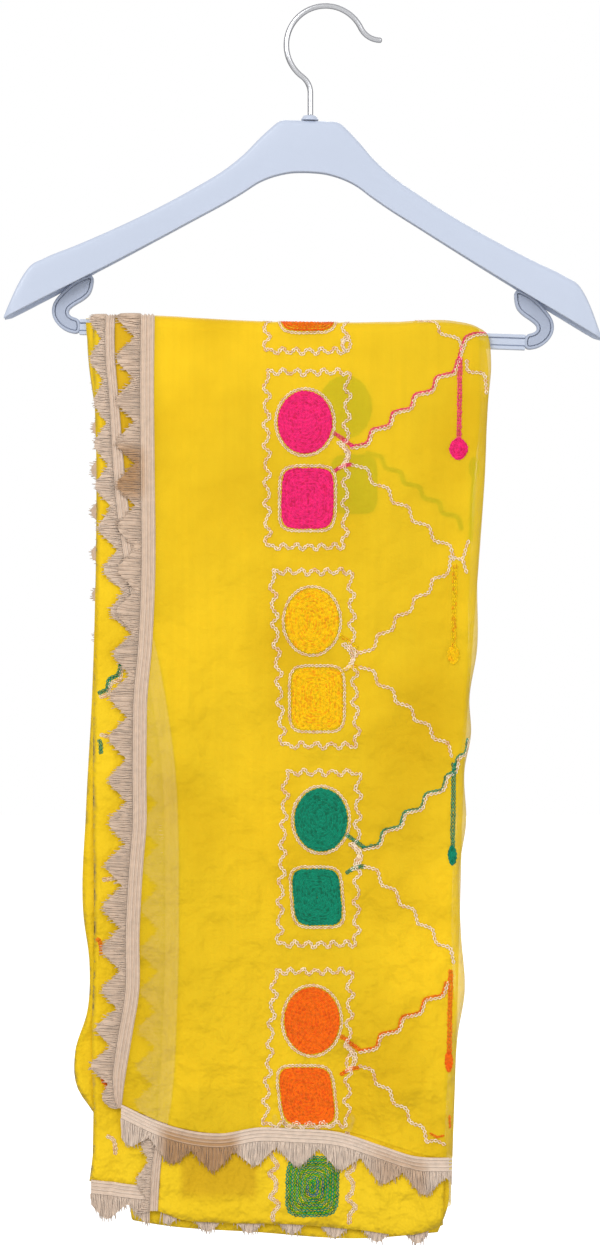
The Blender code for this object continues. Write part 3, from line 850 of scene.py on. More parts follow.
def sheet_cut(sheet, top_up, columns, rows, flap=0.0):
    """x and up over a grid of a whole sheet: between its edges, round its fold and on by the flap."""
    kind = SHEETS[sheet]
    across, along = np.meshgrid(np.linspace(0, 1, columns), np.linspace(0, 1, rows))
    more = math.pi * kind["radius"] - kind["radius"] + flap if kind["fold"] else 0.0
    low = through(across, kind["hem"], 1)
    up = low + (top_up - low) * along
    left = through(up, kind["rows"], 1) - (more if kind["fold"] < 0 else 0.0)
    right = through(up, kind["rows"], 2) + (more if kind["fold"] > 0 else 0.0)
    return left + (right - left) * across, up


def ramp(at, start, run):
    """0 up to the start, rising evenly to 1 over the run. A negative run falls the other way."""
    return np.clip((at - start) / run, 0, 1)


def mark_shade(obj, values):
    """One number a point, which the cloth, thread and lace materials read as their share of painted shadow.
    """
    shade = obj.data.attributes.new("shade", "FLOAT", "POINT")
    shade.data.foreach_set("value", np.asarray(values, dtype=np.float32).ravel())


def cloth_material(name, colour, alpha):
    """Fine crinkled cloth: the colour in soft patches and upright streaks, going to olive in places and
    multiplied towards brown as painted shade where the shade mark says, with a bump for the weave over one
    for the rumples low down."""
    material, nodes, links, shader = new_material(
        name, 0.78, Alpha=alpha, Sheen_Weight=0.12, Sheen_Roughness=0.45, Specular_IOR_Level=0.18
    )
    streaks = uneven(nodes, links, uneven(nodes, links, colour, 7.0, 0.5), 1.0, 0.1, (260.0, 60.0, 9.0))
    share = add_node(nodes, "MapRange", From_Min=0.44, From_Max=0.72, To_Max=0.8)
    olive = add_node(nodes, "Mix", data_type="RGBA", B=linear(*OLIVE))
    links.new(noise(nodes, links, 9.0, 4.0), share.inputs["Value"])
    links.new(share.outputs["Result"], olive.inputs["Factor"])
    links.new(streaks, olive.inputs["A"])
    # Painted shade: the colour is multiplied towards IN_SHADOW by each point's shade mark.
    shadow = add_node(nodes, "Mix", data_type="RGBA", blend_type="MULTIPLY", B=IN_SHADOW)
    links.new(olive.outputs["Result"], shadow.inputs["A"])
    links.new(add_node(nodes, "Attribute", attribute_name="shade").outputs["Fac"], shadow.inputs["Factor"])
    links.new(shadow.outputs["Result"], shader.inputs["Base Color"])
    place = add_node(nodes, "SeparateXYZ")
    low = add_node(nodes, "MapRange", From_Min=CLOTH_TOP * MM, From_Max=BACK_BOTTOM * MM, To_Min=0.2)
    rumpled = add_node(nodes, "Math", operation="MULTIPLY")
    links.new(add_node(nodes, "TexCoord").outputs["Object"], place.inputs["Vector"])
    links.new(place.outputs["Z"], low.inputs["Value"])
    links.new(noise(nodes, links, 30.0, 4.0), rumpled.inputs[0])
    links.new(low.outputs["Result"], rumpled.inputs[1])
    rumple = bump(nodes, links, rumpled.outputs[0], 22.0, 0.8)
    weave = bump(nodes, links, noise(nodes, links, 900.0), 0.12, 0.5, rumple)
    links.new(weave, shader.inputs["Normal"])
    return material


def hang_sheet(name, sheet, material, top_up, columns, rows, flap=0.0, thick=0.0):
    """A sheet of cloth as one grid, from front hem to back hem, and the grid's x and up."""
    x, up = sheet_cut(sheet, top_up, columns, rows, flap)
    obj = mesh_object(name, hang(x, up, sheet).reshape(-1, 3), grid_faces(rows, columns), material)
    soften(obj)
    if thick:
        shell = obj.modifiers.new("thickness", "SOLIDIFY")
        shell.thickness = thick * MM
        shell.offset = -1.0
    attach(obj, "root")
    return obj, x, up


sheer_yellow = cloth_material("sheer yellow cloth", linear(*SHEER_COLOUR), SHEER_ALPHA)
deep_yellow = cloth_material("yellow cloth under it", linear(*UNDER_COLOUR), 1.0)

outer, x, up = hang_sheet(
    "outer layer of the stole", "outer", sheer_yellow, top_up=422.0, columns=120, rows=420
)
mark_shade(outer, np.zeros(x.shape))
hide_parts("cloth_front", "cloth_saddle", "cloth_back")

second, x, up = hang_sheet(
    "second layer of the stole", "second", deep_yellow, top_up=413.0, columns=80, rows=300, thick=UNDER_THICK
)
# Painted shade: a darker oblong low down, where the end of a layer behind would shade the cloth, and painted
# deep shadow on the cloth between the teeth of the lace on top.
painted_oblong_shade = ramp(x, -105.0, 4.0) * ramp(x, -47.0, -3.0) * ramp(up, -862.0, 8.0) * (up < -780.0)
between = ramp(x, -116.0, -6.0) * ramp(up, -450.0, 40.0) * (up < -215.0)
mark_shade(second, OBLONG_SHADE * painted_oblong_shade + BETWEEN_SHADE * between)
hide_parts("cloth_second")

third, x, up = hang_sheet(
    "third layer of the stole", "third", deep_yellow, top_up=413.0, columns=60, rows=220, flap=12.0,
    thick=UNDER_THICK,
)
mark_shade(third, np.zeros(x.shape))
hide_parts("cloth_third", "cloth_back_inner")

inner_layer, x, up = hang_sheet(
    "inner layer of the stole", "inner", deep_yellow, top_up=409.0, columns=60, rows=220, flap=16.0,
    thick=UNDER_THICK,
)
mark_shade(inner_layer, np.zeros(x.shape))
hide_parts("cloth_inner")

# Embroidery: chain stitch in soft cotton, worked by hand in rows. Each stitch is a flat loop of thread
# that starts inside the last one, so it is made as two short bowed strands. Here a column of framed
# discs and squares, the stepped lines that cross beside it, and the drops at the right.

STITCH = 2.7
STITCH_HEIGHT = 0.85
LINE_STITCH = 3.1
LINE_WIDTH = 2.3
OUTLINE_WIDTH = 2.0
ROW_PITCH = 2.1
THREAD_WIDTH = 1.75
SQUARE_POWER = 5.0
DROP_POWER = 1.7
OVAL_POINTS, OVAL_START = 97, 0.4
MIDDLE_ROW, MIDDLE_LEAN = 1.2, 0.4  # half of the short row in the middle of a disc, and how far it leans
OUTLINE_GAP = 1.3
TIE_GAP = 1.3
CROSS_SHIFT = (1.5, 0.4)
STEM_HALF_GAP, STEM_LEAN = 0.85, 1.0
DROP_ASIDE, DROP_OVERLAP = 1.2, 2.0  # how far a drop lies left of its stem, and up over the stem's foot
STEP_FLAT, STEP_RISE = 0.84, 0.2  # share of a step's run and rise in its flat part
STEP_ROUNDING = 0.07
STEP_CREAM, STEP_COLOUR = 0.75, 0.85  # how far the two rows of a stepped line lie from its middle
FRAME_WAVE_ACROSS, FRAME_WAVE_DOWN, FRAME_SWING = 9.8, 13.6, 2.4
PLACE_WAVERS, STEP_WAVERS, SIZE_WAVERS = 0.1, 0.08, 0.08
GROUND_INSET = 0.6
GROUND_LIFT = 0.15
GROUND_SIZES = (0.01, 0.4, 0.75, 1.0)
# Painted shade: this share of the strands is darkened by the thread's shade shares, standing for twisted
# thread in its own shadow; the flat patches under filled work take UNDER_SHADE of it.
SHADED_STRAND_SHARE = 0.32  # of the strands, where the thread is twisted and lies in its own shadow
UNDER_SHADE = 0.5
THREADS = (
    # name, red, green, blue, and the share of each that is left where painted shade darkens the thread
    ("cream", 255, 232, 202, 0.88, 0.64, 0.52),
    ("pink", 255, 42, 132, 0.74, 0.5, 0.42),
    ("amber", 255, 216, 0, 0.98, 0.54, 0.4),
    ("green", 4, 152, 118, 0.74, 0.5, 0.42),
    ("orange", 255, 122, 8, 0.94, 0.56, 0.5),
    ("teal", 6, 118, 142, 0.74, 0.5, 0.42),
    ("leaf green", 46, 176, 16, 0.74, 0.5, 0.42),
)
FILL_STRAND = (
    # share of the stitch, share of the width to the side, height, share of the width as thickness
    (-0.08, 0.08, 0.0, 0.12),
    (0.5, 0.36, 0.55, 0.2),
    (1.12, 0.1, 0.0, 0.15),
)
LINE_STRAND = (
    # as above, for open chain in lines
    (-0.05, 0.04, 0.0, 0.15),
    (0.5, 0.42, 0.45, 0.22),
    (1.12, 0.07, 0.05, 0.17),
)
PAIRS = (
    # colour, disc x, up, half width, half height, square x, up, half width, half height, lean
    ("pink", -13.7, -300.3, 20.0, 23.0, -11.9, -355.2, 19.0, 22.2, 0.02),
    ("amber", -8.7, -443.4, 19.5, 23.6, -5.1, -499.4, 18.6, 22.6, 0.0),
    ("green", -2.2, -586.5, 19.5, 23.1, -5.0, -642.1, 17.4, 20.6, -0.08),
    ("orange", -8.7, -731.0, 20.2, 24.4, -12.3, -785.2, 19.0, 20.8, -0.12),
    ("orange", -12.0, -157.5, 20.0, 23.4, -11.8, -213.0, 19.4, 21.6, 0.0),
    ("green", -8.0, -14.0, 19.6, 23.2, -6.0, -69.6, 18.6, 21.8, 0.04),
    ("amber", -5.0, 129.0, 19.6, 23.4, -7.0, 74.0, 18.8, 22.0, -0.03),
    ("pink", -10.0, 272.5, 20.0, 23.2, -9.0, 217.4, 18.8, 22.0, 0.02),
)
FRAMES = (
    # up of the top, left, right, up of the bottom, left, right
    (-264.2, -41.6, 17.0, -390.0, -40.6, 14.6),
    (-408.0, -37.6, 18.8, -533.0, -29.6, 23.8),
    (-552.5, -27.5, 24.6, -676.1, -32.5, 23.1),
    (-695.6, -35.4, 18.8, -806.0, -42.6, 16.6),
    (-124.0, -41.0, 16.0, -249.0, -41.5, 15.0),
    (19.4, -36.0, 20.0, -105.6, -38.0, 18.0),
    (162.8, -34.0, 21.0, 37.8, -36.0, 19.0),
    (306.2, -38.0, 17.0, 181.2, -37.0, 18.0),
)
CROSSINGS = (
    # colour, x, up
    ("pink", 18.8, -324.9),
    ("amber", 22.4, -470.1),
    ("green", 27.5, -613.9),
    ("orange", 23.8, -759.2),
    ("orange", 20.0, -181.5),
    ("green", 22.0, -38.0),
    ("amber", 21.0, 105.0),
    ("pink", 20.0, 249.0),
)
TIES = (
    # x and up from the crossing, of the two short ties from the disc and the square
    ((-12.3, 16.6), (-5.1, 11.6), (1.4, 6.5)),
    ((-11.6, -11.6), (-5.1, -7.2), (1.4, -6.5)),
)
CROSS = ((-9.6, 10.6), (-2.8, 4.6), (-1.6, -2.6), (-8.2, -9.0))
STEPPED = (
    # colour or none, x, up, end x, end up, steps
    ("pink", 18.8, -318.6, 96.5, -255.0, 5),
    ("none", 18.8, -331.6, 92.5, -400.0, 5),
    ("none", 24.6, -465.8, 90.5, -399.0, 5),
    ("none", 24.6, -477.3, 91.0, -541.6, 5),
    ("green", 27.5, -607.5, 88.2, -554.7, 4),
    ("green", 88.2, -554.7, 104.0, -528.0, 2),
    ("none", 27.5, -620.5, 92.5, -689.8, 5),
    ("orange", 24.6, -753.4, 88.2, -702.8, 4),
    ("none", 24.6, -764.3, 73.0, -818.4, 4),
    ("orange", 20.0, -175.0, 95.0, -112.0, 5),
    ("none", 20.0, -188.0, 99.0, -250.0, 5),
    ("green", 22.0, -31.0, 92.0, 32.0, 5),
    ("none", 22.0, -45.0, 93.0, -112.0, 5),
    ("none", 21.0, 112.0, 90.0, 176.0, 5),
    ("none", 21.0, 98.0, 91.0, 32.0, 5),
    ("pink", 20.0, 255.0, 86.0, 318.0, 5),
    ("none", 20.0, 242.0, 90.0, 176.0, 5),
)
DROPS = (
    # colour, x, up of the top of the stem, up of its foot, half width and half height of the drop
    ("pink", 98.0, -253.5, -313.0, 7.2, 8.6),
    ("amber", 94.2, -402.9, -462.0, 4.8, 7.6),
    ("green", 93.4, -545.3, -606.0, 3.6, 8.0),
    ("orange", 91.0, -694.2, -753.4, 3.3, 8.6),
    ("orange", 96.0, -110.0, -170.0, 5.0, 8.0),
    ("green", 94.0, 34.0, -26.0, 4.6, 8.0),
    ("amber", 92.0, 178.0, 118.0, 4.6, 8.0),
    ("pink", 88.0, 320.0, 260.0, 6.0, 8.0),
)
CREAM_BUD = (16.0, -244.0, 3.4, 5.6, 1.3)  # x, up, half width, half height, power
ODD_ENDS = (
    # colour, stitch, x and up of each corner
    ("pink", STITCH, (96.5, -255.0), (99.0, -246.0), (101.5, -238.5), (108.0, -236.0), (117.0, -234.6)),
    ("cream", STITCH, (97.8, -256.0), (100.4, -247.0), (102.8, -240.0), (108.4, -237.6), (117.0, -236.2)),
    ("cream", STITCH, (102.6, -255.0), (103.3, -264.0), (115.6, -265.0), (117.0, -280.0)),
    ("cream", LINE_STITCH, (89.6, -397.0), (99.6, -399.4), (104.0, -385.0)),
    ("cream", LINE_STITCH, (99.6, -399.4), (102.8, -409.0)),
    ("cream", LINE_STITCH, (73.0, -818.4), (80.0, -816.4), (87.0, -820.0)),
    ("orange", STITCH, (76.0, -811.6), (80.6, -814.6), (86.0, -813.4)),
    ("orange", STITCH, (90.2, -799.0), (90.6, -808.0)),
)

random = np.random.default_rng(11)
thread_paint = {}
for name, red, green, blue, *shade_shares in THREADS:
    material, nodes, links, shader = new_material(
        f"{name} thread", 0.66, Sheen_Weight=0.05, Specular_IOR_Level=0.14
    )
    # Painted shade: each point's shade mark multiplies the thread's colour by its shade shares.
    painted_shade = add_node(nodes, "Mix", data_type="RGBA", blend_type="MULTIPLY", B=(*shade_shares, 1.0))
    links.new(add_node(nodes, "Attribute", attribute_name="shade").outputs["Fac"], painted_shade.inputs["Factor"])
    links.new(uneven(nodes, links, linear(red, green, blue), 420.0, 0.8), painted_shade.inputs["A"])
    links.new(painted_shade.outputs["Result"], shader.inputs["Base Color"])
    thread_paint[name] = material


def rows_of(line, stitch=STITCH):
    """Start and step of each stitch along a line, at an even length near the stitch asked for."""
    line = np.asarray(line, dtype=float)
    along = np.concatenate([[0.0], np.cumsum(np.hypot(*np.diff(line, axis=0).T))])
    count = max(2, round(along[-1] / stitch))
    marks = np.linspace(0, along[-1], count + 1)
    points = np.stack([np.interp(marks, along, line[:, 0]), np.interp(marks, along, line[:, 1])], axis=1)
    return np.hstack([points[:-1], np.diff(points, axis=0)])


def oval(x, up, wide, high, power=2.0, lean=0.0):
    """A closed line: an ellipse for power 2, and nearer a square with round corners for more."""
    t = np.linspace(0, 2 * math.pi, OVAL_POINTS) + OVAL_START
    c, s = np.cos(t), np.sin(t)
    dx = wide * np.sign(c) * np.abs(c) ** (2 / power)
    dup = high * np.sign(s) * np.abs(s) ** (2 / power)
    return np.stack([x + dx + lean * dup, up + dup], axis=1)


def filled(x, up, wide, high, power=2.0, lean=0.0, pitch=ROW_PITCH):
    """Rows of stitches round and round, from the edge in to the middle, and a short row up the middle."""
    insets = np.arange(pitch / 2, min(wide, high) - 0.5, pitch)
    rings = [rows_of(oval(x, up, wide - i, high - i, power, lean)) for i in insets]
    rest = max(high - wide, 0.0) + MIDDLE_ROW
    rings.append(rows_of([(x - MIDDLE_LEAN, up - rest), (x + MIDDLE_LEAN, up + rest)]))
    return np.vstack(rings)


def rounded(line, cut=0.25):
    """The line with its corners cut twice, keeping both ends."""
    line = np.asarray(line, dtype=float)
    for _ in range(2):
        near, far = (1 - cut) * line[:-1] + cut * line[1:], cut * line[:-1] + (1 - cut) * line[1:]
        line = np.vstack([line[:1], np.stack([near, far], axis=1).reshape(-1, 2), line[-1:]])
    return line


def beside_line(line, by):
    """A line moved sideways, to the left of its way along."""
    way = np.gradient(line, axis=0)
    way /= np.maximum(np.hypot(way[:, 0], way[:, 1]), 1e-9)[:, None]
    return line + by * np.stack([-way[:, 1], way[:, 0]], axis=1)


def steps_line(x, up, end_x, end_up, steps):
    """A stair between two points: each step runs on and a little up, then climbs steeply."""
    dx, dup = (end_x - x) / steps, (end_up - up) / steps
    number = np.arange(steps)[:, None]
    corners = np.stack([x + dx * (number + [0.0, STEP_FLAT]), up + dup * (number + [0.0, STEP_RISE])], axis=2)
    return rounded(np.vstack([corners.reshape(-1, 2), [[end_x, end_up]]]), STEP_ROUNDING)


def zigzag_side(start, end, wave, swing):
    """A wavering line between two points: one sine wave swings it to both sides, and a second, lower
    and quicker, makes the swings uneven."""
    start, end = np.array(start), np.array(end)
    length = np.hypot(*(end - start))
    waves = max(2, round(length / wave))
    t = np.linspace(0, 1, waves * 12 + 1)
    ahead = (end - start) / length
    swings = np.sin(2 * math.pi * waves * t) + 0.4 * np.sin(2 * math.pi * (waves * 1.7 * t + 0.2))
    return start + t[:, None] * (end - start) + swing * swings[:, None] * np.array([-ahead[1], ahead[0]])


def ground(x, up, wide, high, power=2.0, lean=0.0):
    """x and up of a flat patch under filled work, which fills the gaps with the thread's colour and is
    darkened there as painted shade: the same oval drawn at a few smaller sizes.
    """
    edge = oval(0.0, 0.0, wide - GROUND_INSET, high - GROUND_INSET, power, lean)[:-1]
    return np.array([x, up]) + np.array(GROUND_SIZES)[:, None, None] * edge


def sew(name, runs, sheet, colour, strand=FILL_STRAND, grounds=(), width=THREAD_WIDTH):
    """All the stitches of one thread on one sheet as one mesh. A stitch is two bowed strands of
    triangular section, drawn in its own frame and laid on the sheet from its start and its step."""
    run = np.vstack(runs)
    count = len(run)
    wavers = [random.normal(0, PLACE_WAVERS, (count, 2)), random.normal(0, STEP_WAVERS, (count, 2))]
    run = run + np.hstack(wavers)
    ahead, aside, raise_by, thick = (column[:, None] for column in np.array(strand).T)
    side = np.array([-1.0, 1.0])[:, None, None]
    corner_side = np.array([-1.0, 1.0, 0.0])
    corner_up = np.array([0.0, 0.0, 1.5])
    f = ahead
    s = side * aside * width + corner_side * thick * width
    h = (raise_by + corner_up * thick) * STITCH_HEIGHT
    f, s, h = (np.broadcast_to(part, (2, len(ahead), 3)).reshape(-1) for part in (f, s, h))
    size = random.normal(1.0, SIZE_WAVERS, (count, 1))
    way = run[:, 2:4] / np.hypot(run[:, 2], run[:, 3])[:, None]
    x = run[:, 0:1] + run[:, 2:3] * f - way[:, 1:2] * s * size
    up = run[:, 1:2] + run[:, 3:4] * f + way[:, 0:1] * s * size
    points = [lay_on(x, up, h * size, sheet).reshape(-1, 3)]
    corners = len(ahead) * 3
    one = grid_faces(len(ahead), 3, round_columns=True)
    caps = np.array([[2, 1, 0], [corners - 3, corners - 2, corners - 1]])
    offset = (np.arange(count) * 2 * corners)[:, None, None]
    faces = [list(q) for q in (np.vstack([one, one + corners]) + offset).reshape(-1, 4)]
    faces += [list(t) for t in (np.vstack([caps, caps + corners]) + offset).reshape(-1, 3)]
    base = len(points[0])
    for patch in grounds:
        rings, around = patch.shape[:2]
        flat = lay_on(patch[:, :, 0], patch[:, :, 1], np.full((rings, around), GROUND_LIFT), sheet)
        points.append(flat.reshape(-1, 3))
        faces += [list(q) for q in grid_faces(rings, around, round_columns=True)[:, ::-1] + base]
        base += rings * around
    obj = mesh_object(name, np.vstack(points), faces, thread_paint[colour])
    # Painted shade: random strands darkened as twisted thread in its own shadow, and the flat patches under
    # the work darkened in the gaps between the loops.
    painted_shade = (random.random((count, 2)) < SHADED_STRAND_SHARE) * random.uniform(0.4, 1.0, (count, 2))
    under = np.full(base - len(points[0]), UNDER_SHADE)
    mark_shade(obj, np.concatenate([np.repeat(painted_shade, corners, axis=1).ravel(), under]))
    soften(obj)
    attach(obj, "root")
    return obj


work = {name: [] for name, *_ in THREADS}
patches = {name: [] for name, *_ in THREADS}
outlines = []
for colour, disc_x, disc_up, disc_wide, disc_high, x, up, wide, high, lean in PAIRS:
    disc = (disc_x, disc_up, disc_wide, disc_high)
    square = (x, up, wide, high, SQUARE_POWER, lean)
    work[colour] += [filled(*disc), filled(*square)]
    patches[colour] += [ground(*disc), ground(*square)]
    outlines += [rows_of(oval(disc_x, disc_up, disc_wide + OUTLINE_GAP, disc_high + OUTLINE_GAP))]
    outlines += [rows_of(oval(x, up, wide + OUTLINE_GAP, high + OUTLINE_GAP, SQUARE_POWER, lean))]
for top, top_left, top_right, bottom, low_left, low_right in FRAMES:
    corners = ((top_left, top), (top_right, top), (low_left, bottom), (low_right, bottom))
    for start, end in ((0, 1), (2, 3), (0, 2), (1, 3)):
        wave = FRAME_WAVE_ACROSS if end == start + 1 else FRAME_WAVE_DOWN
        work["cream"] += [rows_of(zigzag_side(corners[start], corners[end], wave, FRAME_SWING), LINE_STITCH)]
for colour, *crossing in CROSSINGS:
    for tie in TIES:
        line = rounded(np.array(crossing) + np.array(tie))
        work[colour] += [rows_of(line), rows_of(beside_line(line, TIE_GAP))]
    cross = np.array(crossing) + np.array(CROSS)
    work["cream"] += [rows_of(rounded(cross)), rows_of(rounded(cross + CROSS_SHIFT))]
for colour, x, up, end_x, end_up, steps in STEPPED:
    line = steps_line(x, up, end_x, end_up, steps)
    side = 1.0 if end_up > up else -1.0
    work["cream"] += [rows_of(beside_line(line, -STEP_CREAM * side), LINE_STITCH)]
    if colour != "none":
        work[colour] += [rows_of(beside_line(line, STEP_COLOUR * side))]
for colour, x, top, foot, wide, high in DROPS:
    for off in (-STEM_HALF_GAP, STEM_HALF_GAP):
        work[colour] += [rows_of([(x + off, top), (x + off - STEM_LEAN, foot)])]
    drop = (x - DROP_ASIDE, foot - high + DROP_OVERLAP, wide, high, DROP_POWER)
    work[colour] += [filled(*drop)]
    patches[colour] += [ground(*drop)]
work["cream"] += [rows_of(oval(*CREAM_BUD))]
for colour, stitch, *corners in ODD_ENDS:
    work[colour] += [rows_of(corners, stitch)]
cream = work.pop("cream")
outer_stitches = [
    sew("cream outline stitch", outlines, "outer", "cream", width=OUTLINE_WIDTH),
    sew("cream line stitch", cream, "outer", "cream", LINE_STRAND, width=LINE_WIDTH),
]
for name, runs in work.items():
    if runs:
        outer_stitches += [sew(f"{name} chain stitch", runs, "outer", name, grounds=patches[name])]

# Embroidery of the second layer: its own column shows through the sheer layer on top, high up, and
# bare below that layer's hem. The low square is in rings of green, teal at the middle, with leaf
# green between them.

RING_PITCH = 3.6
RING_WIDTH = 2.4
GREEN_SHAPES = (
    # x, up, half width, half height, power, lean
    (15.2, -289.4, 19.5, 23.0, 2.0, 0.0),
    (21.7, -345.0, 17.0, 21.7, SQUARE_POWER, 0.0),
)
UNDER_STAIR = (29.6, -323.4, 98.3, -377.6, 5)  # x, up, end x, end up, steps
UNDER_DROP = (108.0, -332.8, 4.0, 8.0)  # x, up, half width, half height
UNDER_STEMS = (107.0, 108.5)
STEMS_TOP, STEMS_FOOT, STEMS_LEAN = -340.0, -386.0, 2.0
DOUBLE_ROW, DOUBLE_FRAME = 1.5, 1.4  # between the two rows of the stair, and of the low frame
LOW_SQUARE = (-8.3, -850.6, 20.0, 22.8)
LOW_LEAN = 0.03
TEAL_X, TEAL_UP, TEAL_REACH = -6.5, -853.0, 7.0
LOW_FRAME = (
    # x and up of the top, x and up of the foot
    ((-38.0, -800.0), (-36.0, -876.0)),
    ((18.0, -800.0), (19.0, -878.0)),
)
LOW_FRAME_WAVE, LOW_FRAME_SWING = 15.0, 2.6

stair = steps_line(*UNDER_STAIR)
under = [filled(*shape) for shape in GREEN_SHAPES]
under += [rows_of(stair), rows_of(beside_line(stair, DOUBLE_ROW)), filled(*UNDER_DROP)]
under += [rows_of([(x, STEMS_TOP), (x - STEMS_LEAN, STEMS_FOOT)]) for x in UNDER_STEMS]
x, up, wide, high = LOW_SQUARE
rings = filled(x, up, wide, high, SQUARE_POWER, LOW_LEAN, RING_PITCH)
ring_inset = RING_PITCH / 2
under += [filled(x, up, wide - ring_inset, high - ring_inset, SQUARE_POWER, LOW_LEAN, RING_PITCH)]
teal = np.hypot(rings[:, 0] - TEAL_X, rings[:, 1] - TEAL_UP) < TEAL_REACH
sides = [zigzag_side(top, foot, LOW_FRAME_WAVE, LOW_FRAME_SWING) for top, foot in LOW_FRAME]
under_cream = [rows_of(side) for side in sides]
under_cream += [rows_of(beside_line(side, DOUBLE_FRAME)) for side in sides]
grounds = [ground(*shape) for shape in GREEN_SHAPES]
second_stitches = [
    sew("green chain stitch on the second layer", under, "second", "leaf green", grounds=grounds),
    sew("green square of the second layer", [rings[~teal]], "second", "green", width=RING_WIDTH),
    sew("teal middle of the green square", [rings[teal]], "second", "teal", width=RING_WIDTH),
    sew("cream chain stitch on the second layer", under_cream, "second", "cream", LINE_STRAND),
]

# Embroidery of the third layer: only the ends of its own stepped lines show, left of the lace. Each is
# a short stair of two rows side by side.

PEEK_ROWS = 1.4  # between the two rows
PEEKS = (
    # colour, x, up, end x, end up, steps
    ("green", -162.6, -496.0, -146.0, -474.6, 2),
    ("cream", -161.6, -499.0, -145.0, -478.4, 2),
    ("cream", -161.6, -526.0, -149.4, -536.0, 1),
    ("green", -162.8, -529.0, -161.4, -539.0, 1),
    ("cream", -159.6, -630.6, -147.4, -624.8, 1),
    ("orange", -164.4, -673.0, -161.0, -685.0, 1),
    ("orange", -155.0, -687.0, -147.0, -695.6, 1),
    ("orange", -164.0, -766.0, -156.0, -786.4, 2),
    ("cream", -158.6, -773.0, -154.6, -784.0, 1),
    ("cream", -157.0, -815.0, -151.0, -828.0, 1),
    ("cream", -160.0, -340.0, -157.0, -352.0, 1),
)

peeks = {}
for colour, *stair in PEEKS:
    line = steps_line(*stair)
    peeks.setdefault(colour, []).extend([rows_of(line), rows_of(beside_line(line, PEEK_ROWS))])
third_stitches = [
    sew(f"{name} chain stitch on the third layer", runs, "third", name) for name, runs in peeks.items()
]

# Lace: a champagne border sewn along the edges of the cut, a braid of four cords on a wavy ground and
# then a dense fringe of silky threads, cut to blunt pointed teeth. The threads run across the strip,
# at uneven distances, and a few stray.

LACE_COLOUR = (226, 206, 188)
LACE_SHADOW = (184, 142, 98)
LACE_BASE = 15.0
LACE_TOOTH = 13.0
LACE_PITCH = 30.4
TOOTH_FLAT = 1.18
CLOSE_UP_FROM = -700.0
CLOSE_UP = 0.12
LACE_LIFT = 0.3
THREAD_PITCH = 0.95
THREAD_HALF = 0.55
THREAD_PLACE_WAVERS, THREAD_END_WAVERS = 0.15, 0.7
THREAD_BOW, THREAD_STRAY = 0.55, 0.5
THREAD_LIFT = 0.15
FRINGE_FROM = 10.0
THREAD_STATIONS = (0.0, 0.35, 0.72, 1.0)  # shares of a thread's length
THREAD_THICK = (1.0, 1.05, 0.85, 0.4)
GROUND_COLUMNS, GROUND_ROWS = 12, 10  # of the ground's grid: along one tooth, and across the strip
GROUND_SHORT = 1.2
CORD_STEP = 1.3
CORD_SECTION = (0.0, 60.0, 120.0, 180.0, 270.0)  # degrees round a cord
CORD_SWELL, CORD_TURN = 0.16, 2.4
CORD_LIFT = 0.2
# Share of the painted shade on the fringe that the cords take.
CORD_LIGHTER = 0.7
CORDS = (
    # distance from the cloth's edge, radius
    (1.3, 0.75),
    (3.9, 0.6),
    (6.4, 0.7),
    (9.4, 0.5),
)
SIDE_REACH = {
    # up, share of its full reach that the side lace shows: less where it lies tilted or tucked in
    "outer": ((-794.0, 0.3), (-786.0, 0.62), (-770.0, 0.95), (-750.0, 1.0), (417.0, 1.0)),
    "second": (
        (-868.0, 0.6), (-820.0, 0.62), (-785.0, 1.0), (-428.0, 1.0), (-356.0, 0.85),
        (-284.0, 0.66), (-200.0, 0.68), (-100.0, 0.9), (413.0, 0.95),
    ),
}

lace_paint, nodes, links, shader = new_material(
    "champagne lace", 0.5, Sheen_Weight=0.25, Specular_IOR_Level=0.35
)
# Painted shade: the lace colour mixes towards LACE_SHADOW by each point's shade mark.
shaded = add_node(nodes, "Mix", data_type="RGBA")
links.new(uneven(nodes, links, linear(*LACE_COLOUR), 240.0, 0.4), shaded.inputs["A"])
links.new(uneven(nodes, links, linear(*LACE_SHADOW), 240.0, 0.4), shaded.inputs["B"])
links.new(add_node(nodes, "Attribute", attribute_name="shade").outputs["Fac"], shaded.inputs["Factor"])
links.new(shaded.outputs["Result"], shader.inputs["Base Color"])


def tooth_reach(along):
    """How far the lace reaches from the cloth: the braid, then blunt pointed teeth of equal pitch."""
    phase = np.abs((along / LACE_PITCH) % 1.0 - 0.5) * 2
    return LACE_BASE + LACE_TOOTH * np.clip(TOOTH_FLAT * (1 - phase), 0, 1)


def tooth_count(along):
    """Distance along the lace as its teeth count it: they close up a little below a height."""
    return along - CLOSE_UP * np.clip(CLOSE_UP_FROM - along, 0, None)


def bell(at, middle, half_width):
    """1 at the middle, falling to 0 at the half width: one less the fourth power of the distance."""
    return np.clip(1.0 - ((at - middle) / half_width) ** 4, 0, 1)


def lace_shade(x, up, sheet, painted_tone):
    """1 where painted brown shadow lies on the lace: a stretch standing for fringe turned under, and
    stretches of the front end. It is never less than the strip's own share of painted shade."""
    if sheet != "outer":
        return np.full(x.shape, painted_tone)
    out = through(up, FRONT_ROWS, 1) - x
    turned = bell(up, -336.0, 24.0) * np.clip(0.4 + (out - 5.0) / 12.0, 0.4, 1)
    away = through((x + 146.0) / 238.0, FRONT_HEM, 1) - up
    below = ramp(away, -2.0, 8.0) * (up > -900.0) * (up < -780.0)
    left = ramp(x, -122.0, 10.0) * ramp(x, -58.0, -8.0) * below
    right = ramp(x, 24.0, 20.0) * ramp(x, 78.0, -8.0) * below * 0.55
    return np.clip(turned + left + right, painted_tone, 1)


